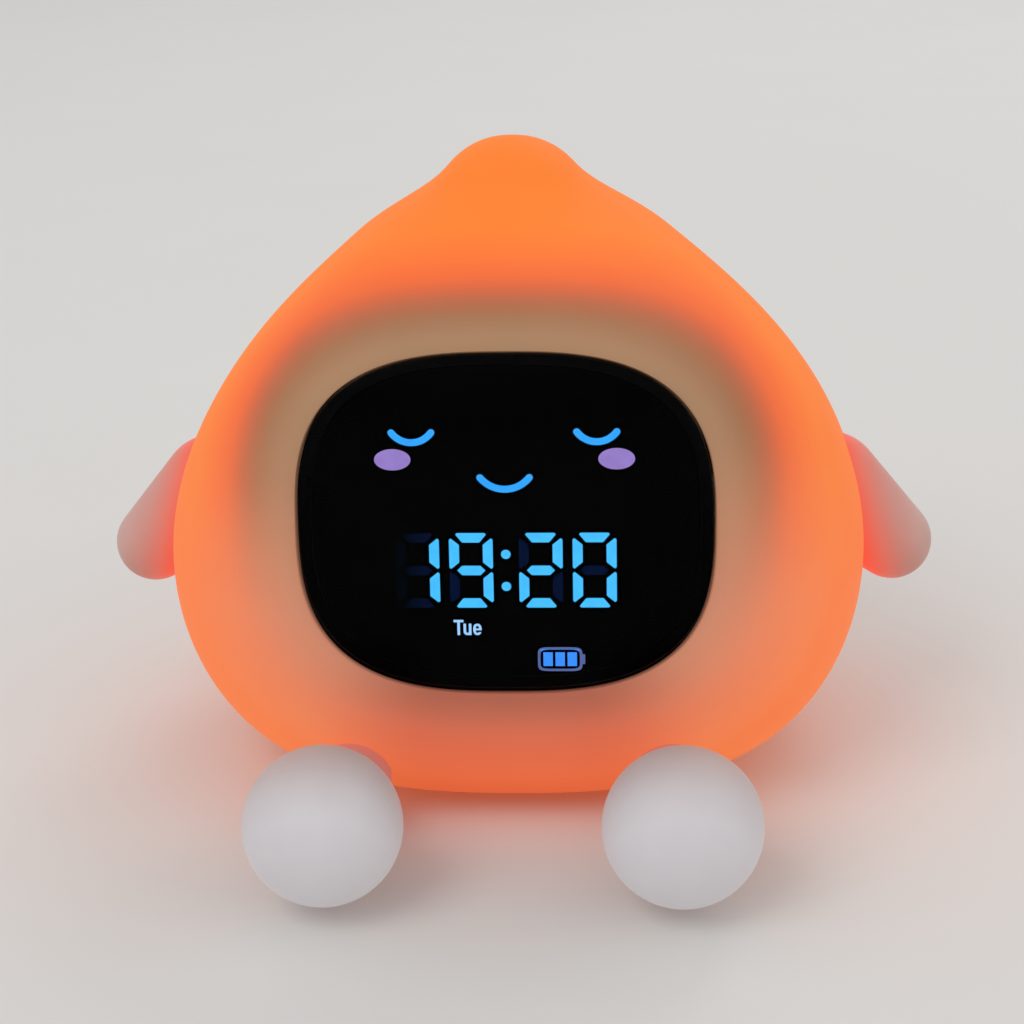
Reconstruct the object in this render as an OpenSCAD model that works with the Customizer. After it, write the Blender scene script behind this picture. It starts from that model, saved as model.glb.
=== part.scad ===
// Kids alarm clock with night light: a soft silicone drop with a display face, two arms and two feet.
// Millimetres, +Z up. The face looks along -Y. The origin is the middle of the flat underside.

/* [Drop body] */
// Width of the body at its widest place
body_w = 120; // [110:1:135]
// Height of the tip above the table
body_h = 108; // [104:1:120]
// Height of the widest place
widest_z = 37.5; // [34:0.5:40]
// Width of the flat underside
base_w = 64; // [62:1:72]
// Depth of the flat underside
base_d = 52; // [50:1:60]
// Distance from the centre to the flattened face, at the display's middle
face_y = 40.5; // [39.5:0.5:44]
// Distance from the centre to the flattened back
back_y = 42.5; // [41:0.5:46]
// Radius of the rounded tip
tip_r = 14; // [11:0.5:16]
// Width of the shoulder where the neck of the drop begins
neck_w = 55.2; // [50:0.2:60]
// Height from the start of the neck to the tip
neck_drop = 17.5; // [15:0.5:20]

/* [Shells] */
// Thickness of the silicone skin
skin_t = 2.4; // [1.8:0.1:3]
// Thickness of the milky diffuser dome
dome_t = 1.6; // [1.2:0.1:2]
// Gap between the skin and the dome
shell_gap = 0.5; // [0.4:0.1:0.8]
// Gap around a trim piece that sits in an opening
seat = 0.3; // [0.2:0.05:0.5]
// Radial clearance of a piece that slides in its hole
run_fit = 0.05; // [0.03:0.01:0.1]

/* [Arms and feet] */
// Diameter of the round foot
foot_d = 25; // [22:0.5:27]
// How far the middle of a foot stands in from the widest place
foot_inset = 32.2; // [31:0.2:35]
// Distance from the body's centre to the middle of a foot
foot_reach = 66.5; // [64:0.5:72]
// Height of the foot above the table
foot_clear = 2; // [0.5:0.1:3]
// Diameter of the leg
leg_d = 11.5; // [10:0.5:12]
// How far the arm's tip stands out past the widest place
arm_out = 12.6; // [10:0.2:16]
// Diameter of the arm at the shoulder
arm_root_d = 19; // [17:0.5:22]
// Diameter of the arm's rounded tip
arm_tip_d = 14; // [11:0.5:16]
// Height of the arm's shoulder
arm_z = 45.5; // [43:0.5:49]
// Drop from the shoulder to the tip
arm_drop = 10.4; // [6:0.2:13]

/* [Display] */
// Width of the skin on each side of the display window
display_side = 27; // [26:0.5:28.5]
// Height of the skin below the display window, down to the table
display_under = 26.3; // [25:0.1:28]
// Height of the skin above the display window, up to the tip
display_over = 26.3; // [25:0.1:28]
// Backward lean of the display
display_lean = 5; // [3:0.5:7]
// Thickness of the smoked lens
lens_t = 2; // [1.6:0.1:2.4]
// Depth of the display housing behind the face
housing_depth = 16; // [15:0.5:18]
// Wall of the display housing
housing_wall = 1.8; // [1.5:0.1:2]
// Height of a digit
digit_h = 12.5; // [11:0.1:13.5]
// Width of a digit
digit_w = 7; // [6:0.1:7.4]
// Width of a digit's bars
bar_w = 1.6; // [1.4:0.05:2]
// Distance between the two digits of a pair
digit_pitch = 8.6; // [8:0.05:9]
// Distance between the digits on each side of the colon
colon_pitch = 11.15; // [10.6:0.05:12]

/* [Back panel] */
// Width of the back panel
panel_w = 56; // [54:1:60]
// Height of the back panel
panel_h = 38; // [36:1:40]
// Height of the back panel's middle
panel_z = 36; // [35:0.5:37]
// Thickness of the back panel
panel_t = 2.2; // [1.8:0.1:2.6]
// Diameter of a push button
button_d = 6.9; // [6:0.1:7.4]
// Distance between neighbouring buttons
button_pitch = 10; // [9.6:0.1:10.4]
// Travel of a push button
button_travel = 0.7; // [0.4:0.1:0.9]
// Travel of the power slider
slider_travel = 3; // [2:0.5:3.5]
// Diameter of the loudspeaker
speaker_d = 20; // [18:0.5:20]

/* [Base and electronics] */
// Thickness of the soft pad under the base
pad_t = 1; // [0.8:0.1:1.6]
// Thickness of the bottom cover
cover_t = 2; // [1.6:0.1:2.2]
// Thickness of the tray's floor
tray_t = 1.6; // [1.4:0.1:2]
// Length of the battery cell
cell_l = 34; // [26:1:35]
// Depth of the battery cell
cell_w = 28; // [20:1:30]
// Thickness of the battery cell
cell_t = 8.5; // [6:0.5:10]
// Height of the light board above the tray's floor
light_rise = 14; // [12:0.5:15]
// Thickness of every circuit board
board_t = 1.6; // [1:0.1:2]

/* [Hidden] */

$fn = 48;
eps = 0.01;

// ---- outline of the drop ------------------------------------------------------------------------

squareness = 2.5;       // exponent of the body's cross section, 2 would be an ellipse
flatness = 20;          // how sharply the face and the back turn into the round sides
shoulder_handle = 25;   // how far the side keeps rising straight above the widest place
neck_handle = 15.7;     // how far the slope at the neck reaches down
neck_slope = 42;        // slope of the outline where the neck begins
tip_slope = 50;         // slope of the outline where the round tip begins
face_share = 0.9;       // front depth at the display's middle, as a share of the half width
brow_share = 1.16;      // the same just above the display
back_share = 0.88;      // back depth below the shoulder, as a share of the half width

display_w = body_w - 2 * display_side;
display_h = body_h - display_under - display_over;
display_z = display_under + display_h / 2;

low_steps = 10;
shoulder_steps = 12;
neck_steps = 5;
tip_steps = 6;

function bezier(a, b, c, d, t) =
    a * pow(1 - t, 3) + 3 * b * t * pow(1 - t, 2) + 3 * c * t * t * (1 - t) + d * pow(t, 3);
function smooth(t) = let (s = min(max(t, 0), 1)) s * s * (3 - 2 * s);
function signed_pow(v, p) = sign(v) * pow(abs(v), p);
function soft_min(a, b) =
    a * b / pow(pow(a, flatness) + pow(b, flatness), 1 / flatness);

widest = [body_w / 2, widest_z];
neck = [neck_w / 2, body_h - neck_drop];
neck_dir = [-cos(neck_slope), sin(neck_slope)];
tip_dir = [-cos(tip_slope), sin(tip_slope)];
tip_start = [tip_r * sin(tip_slope), body_h - tip_r + tip_r * cos(tip_slope)];
neck_len = norm(tip_start - neck);

// Half width and height of the outline, from the rim of the underside to the tip.
outline = concat(
    [for (i = [0:low_steps])
        let (a = 90 * i / low_steps)
        [base_w / 2 + (body_w - base_w) / 2 * sin(a), widest_z - (widest_z - pad_t) * cos(a)]],
    [for (i = [1:shoulder_steps])
        bezier(widest, widest + [0, shoulder_handle], neck - neck_dir * neck_handle, neck,
               i / shoulder_steps)],
    [for (i = [1:neck_steps])
        bezier(neck, neck + neck_dir * neck_len * 0.38, tip_start - tip_dir * neck_len * 0.3,
               tip_start, i / neck_steps)],
    [for (i = [1:tip_steps])
        let (a = tip_slope * (1 - i / tip_steps))
        [tip_r * sin(a), body_h - tip_r + tip_r * cos(a)]]
);
last_ring = len(outline) - 1;

// Outward direction of the outline at one of its points.
function outward(i) =
    i == 0 ? [0, -1] :
    i == last_ring ? [0, 1] :
    let (d = outline[i + 1] - outline[i - 1]) [d.y, -d.x] / norm(d);

// How deep the body is in front of and behind its centre, as a share of its half width.
function front_share(z) =
    base_d / base_w
    + (face_share - base_d / base_w) * smooth((z - pad_t) / (display_z - pad_t))
    + (brow_share - face_share) * smooth((z - display_z) / (display_h / 2))
    - (brow_share - 1) * smooth((z - display_z - display_h / 2) / (body_h - display_z - display_h / 2));
function rear_share(z) =
    base_d / base_w
    + (back_share - base_d / base_w) * smooth((z - pad_t) / (panel_z - pad_t) * 2)
    + (1 - back_share) * smooth((z - neck.y) / (body_h - neck.y));
function face_at(z) = face_y - (z - display_z) * tan(display_lean);

// One level cross section: half width, front depth, back depth, and where the two flats lie.
function section(hw, front, back, front_flat, back_flat, sides) =
    [for (k = [0:sides - 1])
        let (a = 360 * k / sides, s = pow(abs(sin(a)), 2 / squareness))
        [hw * signed_pow(cos(a), 2 / squareness),
         sin(a) < 0 ? -soft_min(front * s, front_flat) : soft_min(back * s, back_flat)]];

// Cross section number i of the body, taken in by inset, as points in space.
function ring(i, inset, sides) =
    let (n = outward(i),
         hw = max(outline[i].x - inset * n.x, 0.05),
         z = outline[i].y - inset * n.y,
         lost = outline[i].x - hw,
         front = max(outline[i].x * front_share(outline[i].y) - lost, 0.05),
         back = max(outline[i].x * rear_share(outline[i].y) - lost, 0.05))
    [for (p = section(hw, front, back, face_at(z) - inset, back_y - inset, sides)) [p.x, p.y, z]];

// Half width of the body, taken in by inset, at a height below the widest place.
function low_half_width(z, inset) =
    base_w / 2 + ((body_w - base_w) / 2 - inset)
    * sqrt(max(1 - pow((widest_z - z) / (widest_z - pad_t - inset), 2), 0));

// The same level cross section as a flat outline, for plates that follow the body near its base.
function low_section(z, inset, sides) =
    let (full = low_half_width(z, 0),
         hw = low_half_width(z, inset),
         lost = full - hw)
    section(hw, full * front_share(z) - lost, full * rear_share(z) - lost, face_at(z), back_y, sides);

// The whole drop as a closed solid, taken in by inset, with every ring or with every second one.
module drop(inset, sides, every = 1) {
    picked = [for (i = [0:every:last_ring - 1]) i];
    for (i = picked)
        hull()
            polyhedron(
                points = concat(ring(i, inset, sides), ring(min(i + every, last_ring), inset, sides)),
                faces = [[for (k = [0:sides - 1]) k], [for (k = [0:sides - 1]) sides + k]]);
}

// ---- placing helpers ----------------------------------------------------------------------------

// Points of a rounded window outline.
function squircle(w, h, n = 2.83, sides = 72) =
    [for (k = [0:sides - 1])
        let (a = 360 * k / sides)
        [w / 2 * signed_pow(cos(a), 2 / n), h / 2 * signed_pow(sin(a), 2 / n)]];

// Lays a flat outline upright, in the XZ plane, from y = from to y = to.
module upright(from, to) {
    translate([0, to, 0]) rotate([90, 0, 0]) linear_extrude(to - from) children();
}

// Cylinder along Y, centred on a place in the XZ plane.
module rod(x, z, r, from, to) {
    translate([x, to, z]) rotate([90, 0, 0]) cylinder(r = r, h = to - from);
}

// Block given by its lowest and highest corners.
module block(low, high) {
    translate(low) cube(high - low);
}

// Frame of the display: y = 0 on the face, +Y into the body.
module on_face() {
    translate([0, -face_y, display_z]) rotate([-display_lean, 0, 0]) children();
}

// Frame of the right leg: the origin in the foot's middle, +Y along the leg into the body.
module on_leg() {
    translate([foot_x, -foot_reach, foot_z]) rotate([-leg_fall, 0, leg_splay]) children();
}

// Both sides of the body, the second one mirrored.
module both_sides() {
    children();
    mirror([1, 0, 0]) children();
}

// Each of the four corners of a rectangle about the centre.
module four_corners(x, y) {
    for (sx = [-1, 1], sy = [-1, 1]) translate([sx * x, sy * y, 0]) children();
}

// Round wire along a list of points, with steps rings in each stretch.
wire_sides = 8;
wire_steps = 4;
function route_point(path, i, t) =
    let (n = len(path) - 1,
         p0 = path[max(i - 1, 0)], p1 = path[i], p2 = path[i + 1], p3 = path[min(i + 2, n)])
    0.5 * (2 * p1 + (p2 - p0) * t + (2 * p0 - 5 * p1 + 4 * p2 - p3) * t * t
           + (3 * p1 - p0 - 3 * p2 + p3) * t * t * t);
function unit(v) = v / norm(v);
module wire(path, d) {
    pts = concat(
        [for (i = [0:len(path) - 2]) for (k = [0:wire_steps - 1]) route_point(path, i, k / wire_steps)],
        [path[len(path) - 1]]);
    n = len(pts);
    rings = [for (i = [0:n - 1])
        let (along = unit(pts[min(i + 1, n - 1)] - pts[max(i - 1, 0)]),
             side = unit(cross(along, [1, 0, 0])),
             up = cross(side, along))
        for (k = [0:wire_sides - 1])
            let (a = 360 * k / wire_sides) pts[i] + d / 2 * (cos(a) * side + sin(a) * up)];
    walls = [for (i = [0:n - 2]) for (k = [0:wire_sides - 1])
        let (a = i * wire_sides + k, b = i * wire_sides + (k + 1) % wire_sides)
        [a, b, b + wire_sides, a + wire_sides]];
    polyhedron(
        points = rings,
        faces = concat(walls, [[for (k = [wire_sides - 1:-1:0]) k]],
                       [[for (k = [0:wire_sides - 1]) (n - 1) * wire_sides + k]]));
}

// Screw along +Z with its head below z = 0, a cross recess and a plain shank.
module screw(head_r, head_h, shank_r, shank_l) {
    difference() {
        translate([0, 0, -head_h]) cylinder(r = head_r, h = head_h);
        for (a = [0, 90])
            rotate(a)
                translate([-head_r * 0.6, -head_r * 0.13, -head_h - eps])
                    cube([head_r * 1.2, head_r * 0.26, head_h * 0.5]);
    }
    cylinder(r = shank_r, h = shank_l);
}

// ---- levels and places shared by the pieces -----------------------------------------------------

dome_out = skin_t + shell_gap;
dome_in = dome_out + dome_t;
skin_sides = 64;
dome_sides = 36;

lip = 3;                                  // width of the skin's lip under the base
opening_w = base_w - 2 * lip;
opening_d = base_d - 2 * lip;
tray_z = pad_t + skin_t + 1;              // underside of the tray's floor
tray_top = tray_z + tray_t;
post_r = 3;
post_x = base_w / 2 - 11;
post_y = base_d / 2 - 13;
board_z = tray_top + light_rise;
pilot_gap = 0.05;                         // radial room around a screw's shank

base_screw = [2.2, 1.4, 1.2, 8.5];        // head radius, head height, shank radius, shank length
small_screw = [1.7, 1.1, 0.9, 5];

foot_x = body_w / 2 - foot_inset;
foot_z = foot_d / 2 + foot_clear;
leg_splay = 4;                            // how far the legs turn outward
leg_enters = [37.5, 9.4];                 // where the leg enters the body: in front of its centre, height
leg_fall = atan((foot_z - leg_enters[1]) / (foot_reach - leg_enters[0]));
leg_shoulder = foot_reach - 39;           // from the foot's middle to where the leg starts to narrow
leg_neck = foot_reach - 30;               // to where it is narrow
leg_l = foot_reach - 27;                  // to the leg's inner end
neck_r = 3.8;
plate_low = [-9, 0.9];                    // corners of the plate on the leg's inner end
plate_high = [3, 7];
plate_t = 1.6;
plate_screw = [-0.4, 2.3];

peg_r = 3;
peg_depth = skin_t - 0.4;
peg_gap = 0.15;
arm_y = 2;
arm_tip = [body_w / 2 + arm_out - arm_tip_d / 2, arm_y, arm_z - arm_drop];
arm_root = [body_w / 2 - 6, arm_y, arm_z];

lens_proud = 0.3;
lens_back = lens_t - lens_proud;
tape_t = 0.4;
housing_front = lens_back + tape_t;
cavity_w = display_w - 2 * housing_wall;
cavity_h = display_h - 2 * housing_wall;
mask_front = lens_back + 0.05;
mask_t = 0.5;
film_t = 0.1;
symbol_gap = 0.04;
reflector_front = mask_front + mask_t + 0.05;
reflector_t = 6;
display_board_front = reflector_front + reflector_t + 0.05;
display_board_back = display_board_front + board_t;
floor_front = housing_depth - 1.6;
ear_front = dome_in + 4;
ear_t = 1.6;
ear_out = 3.9;
ear_half = 2.6;
ear_levels = [display_h * 0.05, -display_h * 0.25];
ear_screw_l = 3.2;                        // how deep the ear's screw goes into its post

panel_out = back_y + 0.2;
panel_in = panel_out - panel_t;
main_back = panel_in - 7.4;               // side of the main board that faces the panel
main_front = main_back - board_t;
main_w = 50;
main_h = 33;
main_z = panel_z - 2;
row_z = panel_z + 9;                      // height of the row of buttons
low_z = panel_z - 9;                      // height of the socket and the slider
speaker_z = panel_z - 6.5;
switch_h = 3.5;
stem_h = 1;
button_proud = 1.2;
button_flange_r = button_d / 2 + 0.95;
button_flange_t = 1.1;
flange_gap = 0.2;
button_gap = 0.3;                         // what is left between a pressed button and its switch
socket_x = 18;
slider_x = -19.5;
slider_w = 3.6;
slider_h = 3.3;
panel_screw_x = panel_w / 2 - 3.4;
board_post_r = 2.1;
board_posts = [[-12.8, 2], [12.8, 2], [-10.5, -15.5], [10.5, -15.5]];

// ---- openings -----------------------------------------------------------------------------------

module face_opening() {
    on_face()
        upright(-12, 24)
            polygon(squircle(display_w + 2 * seat, display_h + 2 * seat));
}

module back_opening() {
    translate([0, 0, panel_z])
        upright(back_y - 14, back_y + 12)
            polygon(squircle(panel_w + 2 * seat, panel_h + 2 * seat));
}

module base_opening() {
    translate([0, 0, -1])
        linear_extrude(tray_top + 1.1)
            polygon(squircle(opening_w, opening_d));
}

// The leg, made larger all round by a gap: full width, narrowing shoulder and neck.
module leg_rods(gap) {
    rod(0, 0, leg_d / 2 + gap, 0, leg_shoulder);
    translate([0, leg_neck, 0])
        rotate([90, 0, 0])
            cylinder(r1 = neck_r + gap, r2 = leg_d / 2 + gap, h = leg_neck - leg_shoulder);
    rod(0, 0, neck_r + gap, leg_neck, leg_l + 2 * gap);
}

module leg_openings() {
    both_sides()
        on_leg()
            leg_rods(seat);
}

// ---- body ---------------------------------------------------------------------------------------

module silicone_skin() {
    color([1, 0.66, 0.42])
        difference() {
            drop(0, skin_sides);
            drop(skin_t, skin_sides);
            face_opening();
            back_opening();
            base_opening();
            leg_openings();
            both_sides()
                translate([body_w / 2 - 14, arm_y, arm_z])
                    rotate([0, 90, 0]) cylinder(r = peg_r + peg_gap, h = 20);
        }
}

// Posts inside the dome that carry the ears of the display housing.
module ear_posts() {
    on_face()
        both_sides()
            for (level = ear_levels)
                rod(display_w / 2 + ear_out, level, ear_half - 0.2, 0, ear_front - 0.1);
}

module diffuser_dome() {
    tab_in = back_y - dome_in - 1.6;
    tab_half = 3;
    color([0.96, 0.95, 0.9])
        difference() {
            union() {
                difference() {
                    drop(dome_out, dome_sides, 2);
                    difference() {
                        drop(dome_in, dome_sides, 2);
                        ear_posts();
                    }
                    face_opening();
                    back_opening();
                    leg_openings();
                    translate([-body_w / 2, -body_w / 2, 0])
                        cube([body_w, body_w, tray_top + 0.1]);
                }
                both_sides() {
                    block([panel_screw_x - 2.6, tab_in, panel_z - tab_half],
                          [panel_w / 2 - 0.2, panel_in - 0.1, panel_z + tab_half]);
                    block([panel_screw_x, tab_in, panel_z - tab_half],
                          [panel_w / 2 + 5, back_y - dome_out - 0.3, panel_z + tab_half]);
                }
            }
            on_face()
                both_sides()
                    for (level = ear_levels)
                        rod(display_w / 2 + ear_out, level, small_screw[2] + pilot_gap,
                            ear_front - ear_screw_l, ear_front);
            both_sides()
                rod(panel_screw_x, panel_z, small_screw[2] + pilot_gap, back_y - 14, back_y);
        }
}

module arm() {
    difference() {
        union() {
            difference() {
                hull() {
                    translate(arm_root) scale([1, 0.8, 1]) sphere(d = arm_root_d, $fn = 40);
                    translate(arm_tip) sphere(d = arm_tip_d, $fn = 32);
                }
                drop(-0.03, skin_sides);
            }
            translate([body_w / 2 - 12, arm_y, arm_z])
                rotate([0, 90, 0]) cylinder(r = peg_r, h = 14, $fn = 32);
        }
        drop(peg_depth, skin_sides);
    }
}

module right_arm() {
    color([0.95, 0.86, 0.8]) arm();
}

module left_arm() {
    color([0.95, 0.86, 0.8]) mirror([1, 0, 0]) arm();
}

module foot() {
    on_leg()
        difference() {
            union() {
                sphere(d = foot_d, $fn = 64);
                leg_rods(0);
            }
            rod(plate_screw[0], plate_screw[1], small_screw[2] + pilot_gap, leg_l - 7, leg_l + 1);
        }
}

module right_foot() {
    color([0.93, 0.92, 0.92]) foot();
}

module left_foot() {
    color([0.93, 0.92, 0.92]) mirror([1, 0, 0]) foot();
}

module foot_plates() {
    color([0.75, 0.76, 0.78])
        both_sides()
            on_leg()
                difference() {
                    block([plate_low[0], leg_l, plate_low[1]],
                          [plate_high[0], leg_l + plate_t, plate_high[1]]);
                    rod(plate_screw[0], plate_screw[1], small_screw[2] + 0.15, leg_l - 1, leg_l + plate_t + 1);
                }
}

module foot_screws() {
    color([0.6, 0.61, 0.63])
        both_sides()
            on_leg()
                translate([plate_screw[0], leg_l + plate_t, plate_screw[1]])
                    rotate([90, 0, 0])
                        screw(small_screw[0], small_screw[1], small_screw[2], small_screw[3]);
}

// ---- base ---------------------------------------------------------------------------------------

pad_edge = 4;
screw_room = 0.6;

module base_pad() {
    color([0.55, 0.55, 0.56])
        linear_extrude(pad_t)
            difference() {
                polygon(squircle(base_w - 2 * pad_edge, base_d - 2 * pad_edge));
                four_corners(post_x, post_y) circle(r = base_screw[0] + screw_room);
            }
}

module bottom_cover() {
    color([0.9, 0.9, 0.88])
        difference() {
            translate([0, 0, pad_t])
                linear_extrude(cover_t)
                    polygon(squircle(opening_w - 2 * seat, opening_d - 2 * seat));
            four_corners(post_x, post_y) {
                translate([0, 0, pad_t - 1]) cylinder(r = base_screw[2] + 0.2, h = cover_t + 2);
                translate([0, 0, pad_t - 1]) cylinder(r = base_screw[0] + 0.2, h = 1 + base_screw[1] * 0.75);
            }
        }
}

module base_tray() {
    pilot_low = base_screw[3] + pad_t + 1.5;
    color([0.92, 0.92, 0.9])
        difference() {
            union() {
                translate([0, 0, tray_z])
                    linear_extrude(tray_t)
                        polygon(low_section(tray_z, dome_out, 72));
                four_corners(post_x, post_y) {
                    translate([0, 0, pad_t + cover_t + 0.1])
                        cylinder(r = post_r, h = board_z - pad_t - cover_t - 0.1);
                }
                cell_fence();
            }
            four_corners(post_x, post_y) {
                translate([0, 0, pad_t]) cylinder(r = base_screw[2] + pilot_gap, h = pilot_low);
                translate([0, 0, board_z - small_screw[3]])
                    cylinder(r = small_screw[2] + pilot_gap, h = small_screw[3] + 1);
            }
            leg_openings();
        }
}

// Low walls that keep the battery cell in its place.
module cell_fence() {
    fence_t = 1.2;
    fence_h = 3;
    fence_gap = 0.4;
    x = cell_l / 2 + fence_gap;
    y = cell_w / 2 + fence_gap;
    for (sy = [-1, 1])
        translate([-10, sy > 0 ? y : -y - fence_t, tray_top - eps]) cube([20, fence_t, fence_h]);
    for (sx = [-1, 1])
        translate([sx > 0 ? x : -x - fence_t, -5, tray_top - eps]) cube([fence_t, 10, fence_h]);
}

module base_screws() {
    color([0.6, 0.61, 0.63])
        four_corners(post_x, post_y)
            translate([0, 0, pad_t + base_screw[1] * 0.75])
                screw(base_screw[0], base_screw[1] * 0.7, base_screw[2], base_screw[3]);
}

foam_t = 0.6;
cell_z = tray_top + foam_t;

module battery_pad() {
    color([0.2, 0.2, 0.22])
        block([-cell_l / 2 + 4, -cell_w / 2 + 4, tray_top], [cell_l / 2 - 4, cell_w / 2 - 4, cell_z]);
}

module battery_cell() {
    r = 2;
    color([0.75, 0.77, 0.8]) {
        translate([-cell_l / 2, 0, cell_z + cell_t / 2])
            rotate([90, 0, 90])
                linear_extrude(cell_l)
                    polygon(squircle(cell_w, cell_t, 6, 40));
        block([-cell_l / 4, cell_w / 2 - 2, cell_z + cell_t / 2 - r / 2],
              [cell_l / 4, cell_w / 2 + 0.3, cell_z + cell_t / 2 + r / 2]);
    }
}

lead_d = 1.2;
lead_x = 4.5;                             // how far the two plugs stand left and right of the middle
plug_t = 3.1;
plug_front = main_front - plug_t;

module battery_leads() {
    start_z = cell_z + cell_t / 2;
    for (side = [-1, 1])
        let (x = side * lead_d - lead_x)
        color(side < 0 ? [0.1, 0.1, 0.1] : [0.8, 0.1, 0.08])
            wire([[x, cell_w / 2 + 0.4, start_z],
                  [x, cell_w / 2 + 1.6, start_z + 0.1],
                  [x, cell_w / 2 + 4.5, start_z + 1.2],
                  [x, plug_front - 3.8, connector_z - 5],
                  [x, plug_front - 1.2, connector_z - 0.4],
                  [x, plug_front - 0.1, connector_z]], lead_d);
}

// ---- light board --------------------------------------------------------------------------------

light_w = base_w - 6;
light_d = base_d - 20;
led_size = 5;
led_t = 1.5;
led_ring = 10.5;

module light_board() {
    color([0.93, 0.94, 0.95])
        difference() {
            translate([0, 0, board_z])
                linear_extrude(board_t)
                    polygon(squircle(light_w, light_d, 5, 48));
            four_corners(post_x, post_y)
                translate([0, 0, board_z - 1]) cylinder(r = small_screw[2] + 0.15, h = board_t + 2);
        }
}

module rgb_leds() {
    color([0.98, 0.97, 0.88])
        for (i = [0:7])
            rotate(45 * i + 22.5)
                translate([led_ring, 0, board_z + board_t + led_t / 2])
                    difference() {
                        cube([led_size, led_size, led_t], center = true);
                        translate([0, 0, led_t / 2 - 0.4]) cylinder(r = 1.9, h = 1);
                    }
}

module light_board_screws() {
    color([0.6, 0.61, 0.63])
        four_corners(post_x, post_y)
            translate([0, 0, board_z + board_t])
                mirror([0, 0, 1])
                    screw(small_screw[0], small_screw[1], small_screw[2], small_screw[3]);
}

module light_leads() {
    top = board_z + board_t + lead_d / 2 + 0.1;
    for (side = [-1, 1])
        let (x = side * lead_d + lead_x)
        color(side < 0 ? [0.9, 0.9, 0.9] : [0.9, 0.6, 0.1])
            wire([[x, light_d / 2 - 1.1, top],
                  [x, light_d / 2 + 1.5, top + 0.3],
                  [x, light_d / 2 + 4, top + 1.6],
                  [x, plug_front - 4, connector_z + 1.6],
                  [x, plug_front - 1.3, connector_z + 0.2],
                  [x, plug_front - 0.1, connector_z]], lead_d);
}

// ---- display symbols, drawn flat with x to the right and y up -----------------------------------

symbol_shift = -0.05;
digits_y = -7.8;
colon_r = 0.77;
colon_y = 2.68;
eye = [14.65, 14.13, 3.87, 54.5];         // x, y, arc radius, half angle
mouth = [0, 6.6, 4.95, 52.2];
line_w = 1.13;
cheek = [17.75, 10.55, 5.8, 3.5];          // x, y, width, height
weekday = [-6.5, -17.4];
battery_sign = [8.4, -22.8];
drawn_h = 55.4;                           // display height that the symbols are drawn for
symbol_scale = display_h / drawn_h;
digits_at = [symbol_shift, digits_y * symbol_scale];

// Points of a stretch of a circle, counted clockwise from its lowest point.
function arc(centre, r, from, to, steps) =
    [for (i = [0:steps]) let (a = from + (to - from) * i / steps) centre + r * [-sin(a), -cos(a)]];

// Arc with round ends that hangs down from its ends.
module smile(r, half, w) {
    middle = [0, r * (1 + cos(half)) / 2];
    left_end = middle + r * [-sin(half), -cos(half)];
    right_end = middle + r * [sin(half), -cos(half)];
    polygon(concat(
        arc(middle, r + w / 2, -half, half, 20),
        arc(left_end, w / 2, half + 20, half + 160, 7),
        arc(middle, r - w / 2, half, -half, 16),
        arc(right_end, w / 2, 200 - half, 340 - half, 7)));
}

// One bar of a digit along x. lean is 1 for a bar whose upper edge is the long one, 0 for an even one.
module bar(from, to, lean) {
    tip = bar_w / 2;
    upper = tip * (1 - 0.7 * lean);
    lower = tip * (1 + 0.35 * lean);
    point = tip * 0.65 * lean;
    polygon([[from, point], [from + upper, tip], [to - upper, tip], [to, point], [to - lower, -tip],
             [from + lower, -tip]]);
}

corner_gap = [0.25, 0.1];                 // how far a level and an upright bar end before the corner
middle_gap = [0.44, 0.27];                // what they leave free at the digit's middle

// The bars of a digit, numbered from the top clockwise, the middle one last.
module digit_bar(n) {
    x = (digit_w - bar_w) / 2;
    y = (digit_h - bar_w) / 4;
    across = x - corner_gap[0];
    inner = x - middle_gap[0];
    up = y - corner_gap[1];
    mid = y - middle_gap[1];
    if (n == 0) translate([0, 2 * y]) bar(-across, across, 1);
    if (n == 1) translate([x, y]) rotate(-90) bar(-up, mid, 1);
    if (n == 2) translate([x, -y]) rotate(-90) bar(-mid, up, 1);
    if (n == 3) translate([0, -2 * y]) rotate(180) bar(-across, across, 1);
    if (n == 4) translate([-x, -y]) rotate(90) bar(-up, mid, 1);
    if (n == 5) translate([-x, y]) rotate(90) bar(-mid, up, 1);
    if (n == 6) bar(-inner, inner, 0);
}

digit_x = [-colon_pitch / 2 - digit_pitch, -colon_pitch / 2, colon_pitch / 2,
           colon_pitch / 2 + digit_pitch];
// Lit bars of 1, 9, 2 and 0.
lit_bars = [[1, 2], [0, 1, 2, 3, 5, 6], [0, 1, 3, 4, 6], [0, 1, 2, 3, 4, 5]];
function is_lit(digit, n) = len(search(n, lit_bars[digit])) > 0;

module digit_bars_2d(lit) {
    translate(digits_at) {
        for (d = [0:3], n = [0:6])
            if (is_lit(d, n) == lit) translate([digit_x[d], 0]) digit_bar(n);
        if (lit) for (s = [-1, 1]) translate([0, s * colon_y]) circle(r = colon_r, $fn = 24);
    }
}

// Brings what is drawn for the standard display to the display's size.
module to_size() {
    scale([symbol_scale, symbol_scale]) children();
}

module face_2d() {
    to_size() {
        for (s = [-1, 1]) translate([s * eye[0], eye[1]]) smile(eye[2], eye[3], line_w);
        translate([mouth[0], mouth[1]]) smile(mouth[2], mouth[3], line_w);
    }
}

module cheeks_2d() {
    to_size()
        for (s = [-1, 1]) translate([s * cheek[0], cheek[1]]) polygon(squircle(cheek[2], cheek[3], 2, 40));
}

// Letter strokes of the weekday: capital height, small letter height and stroke width.
capital_h = 2.6;
small_h = 1.95;
stroke = 0.42;

module letter_t() {
    w = 1.6;
    translate([-w / 2, capital_h - stroke]) square([w, stroke]);
    translate([-stroke / 2, 0]) square([stroke, capital_h]);
}

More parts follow.
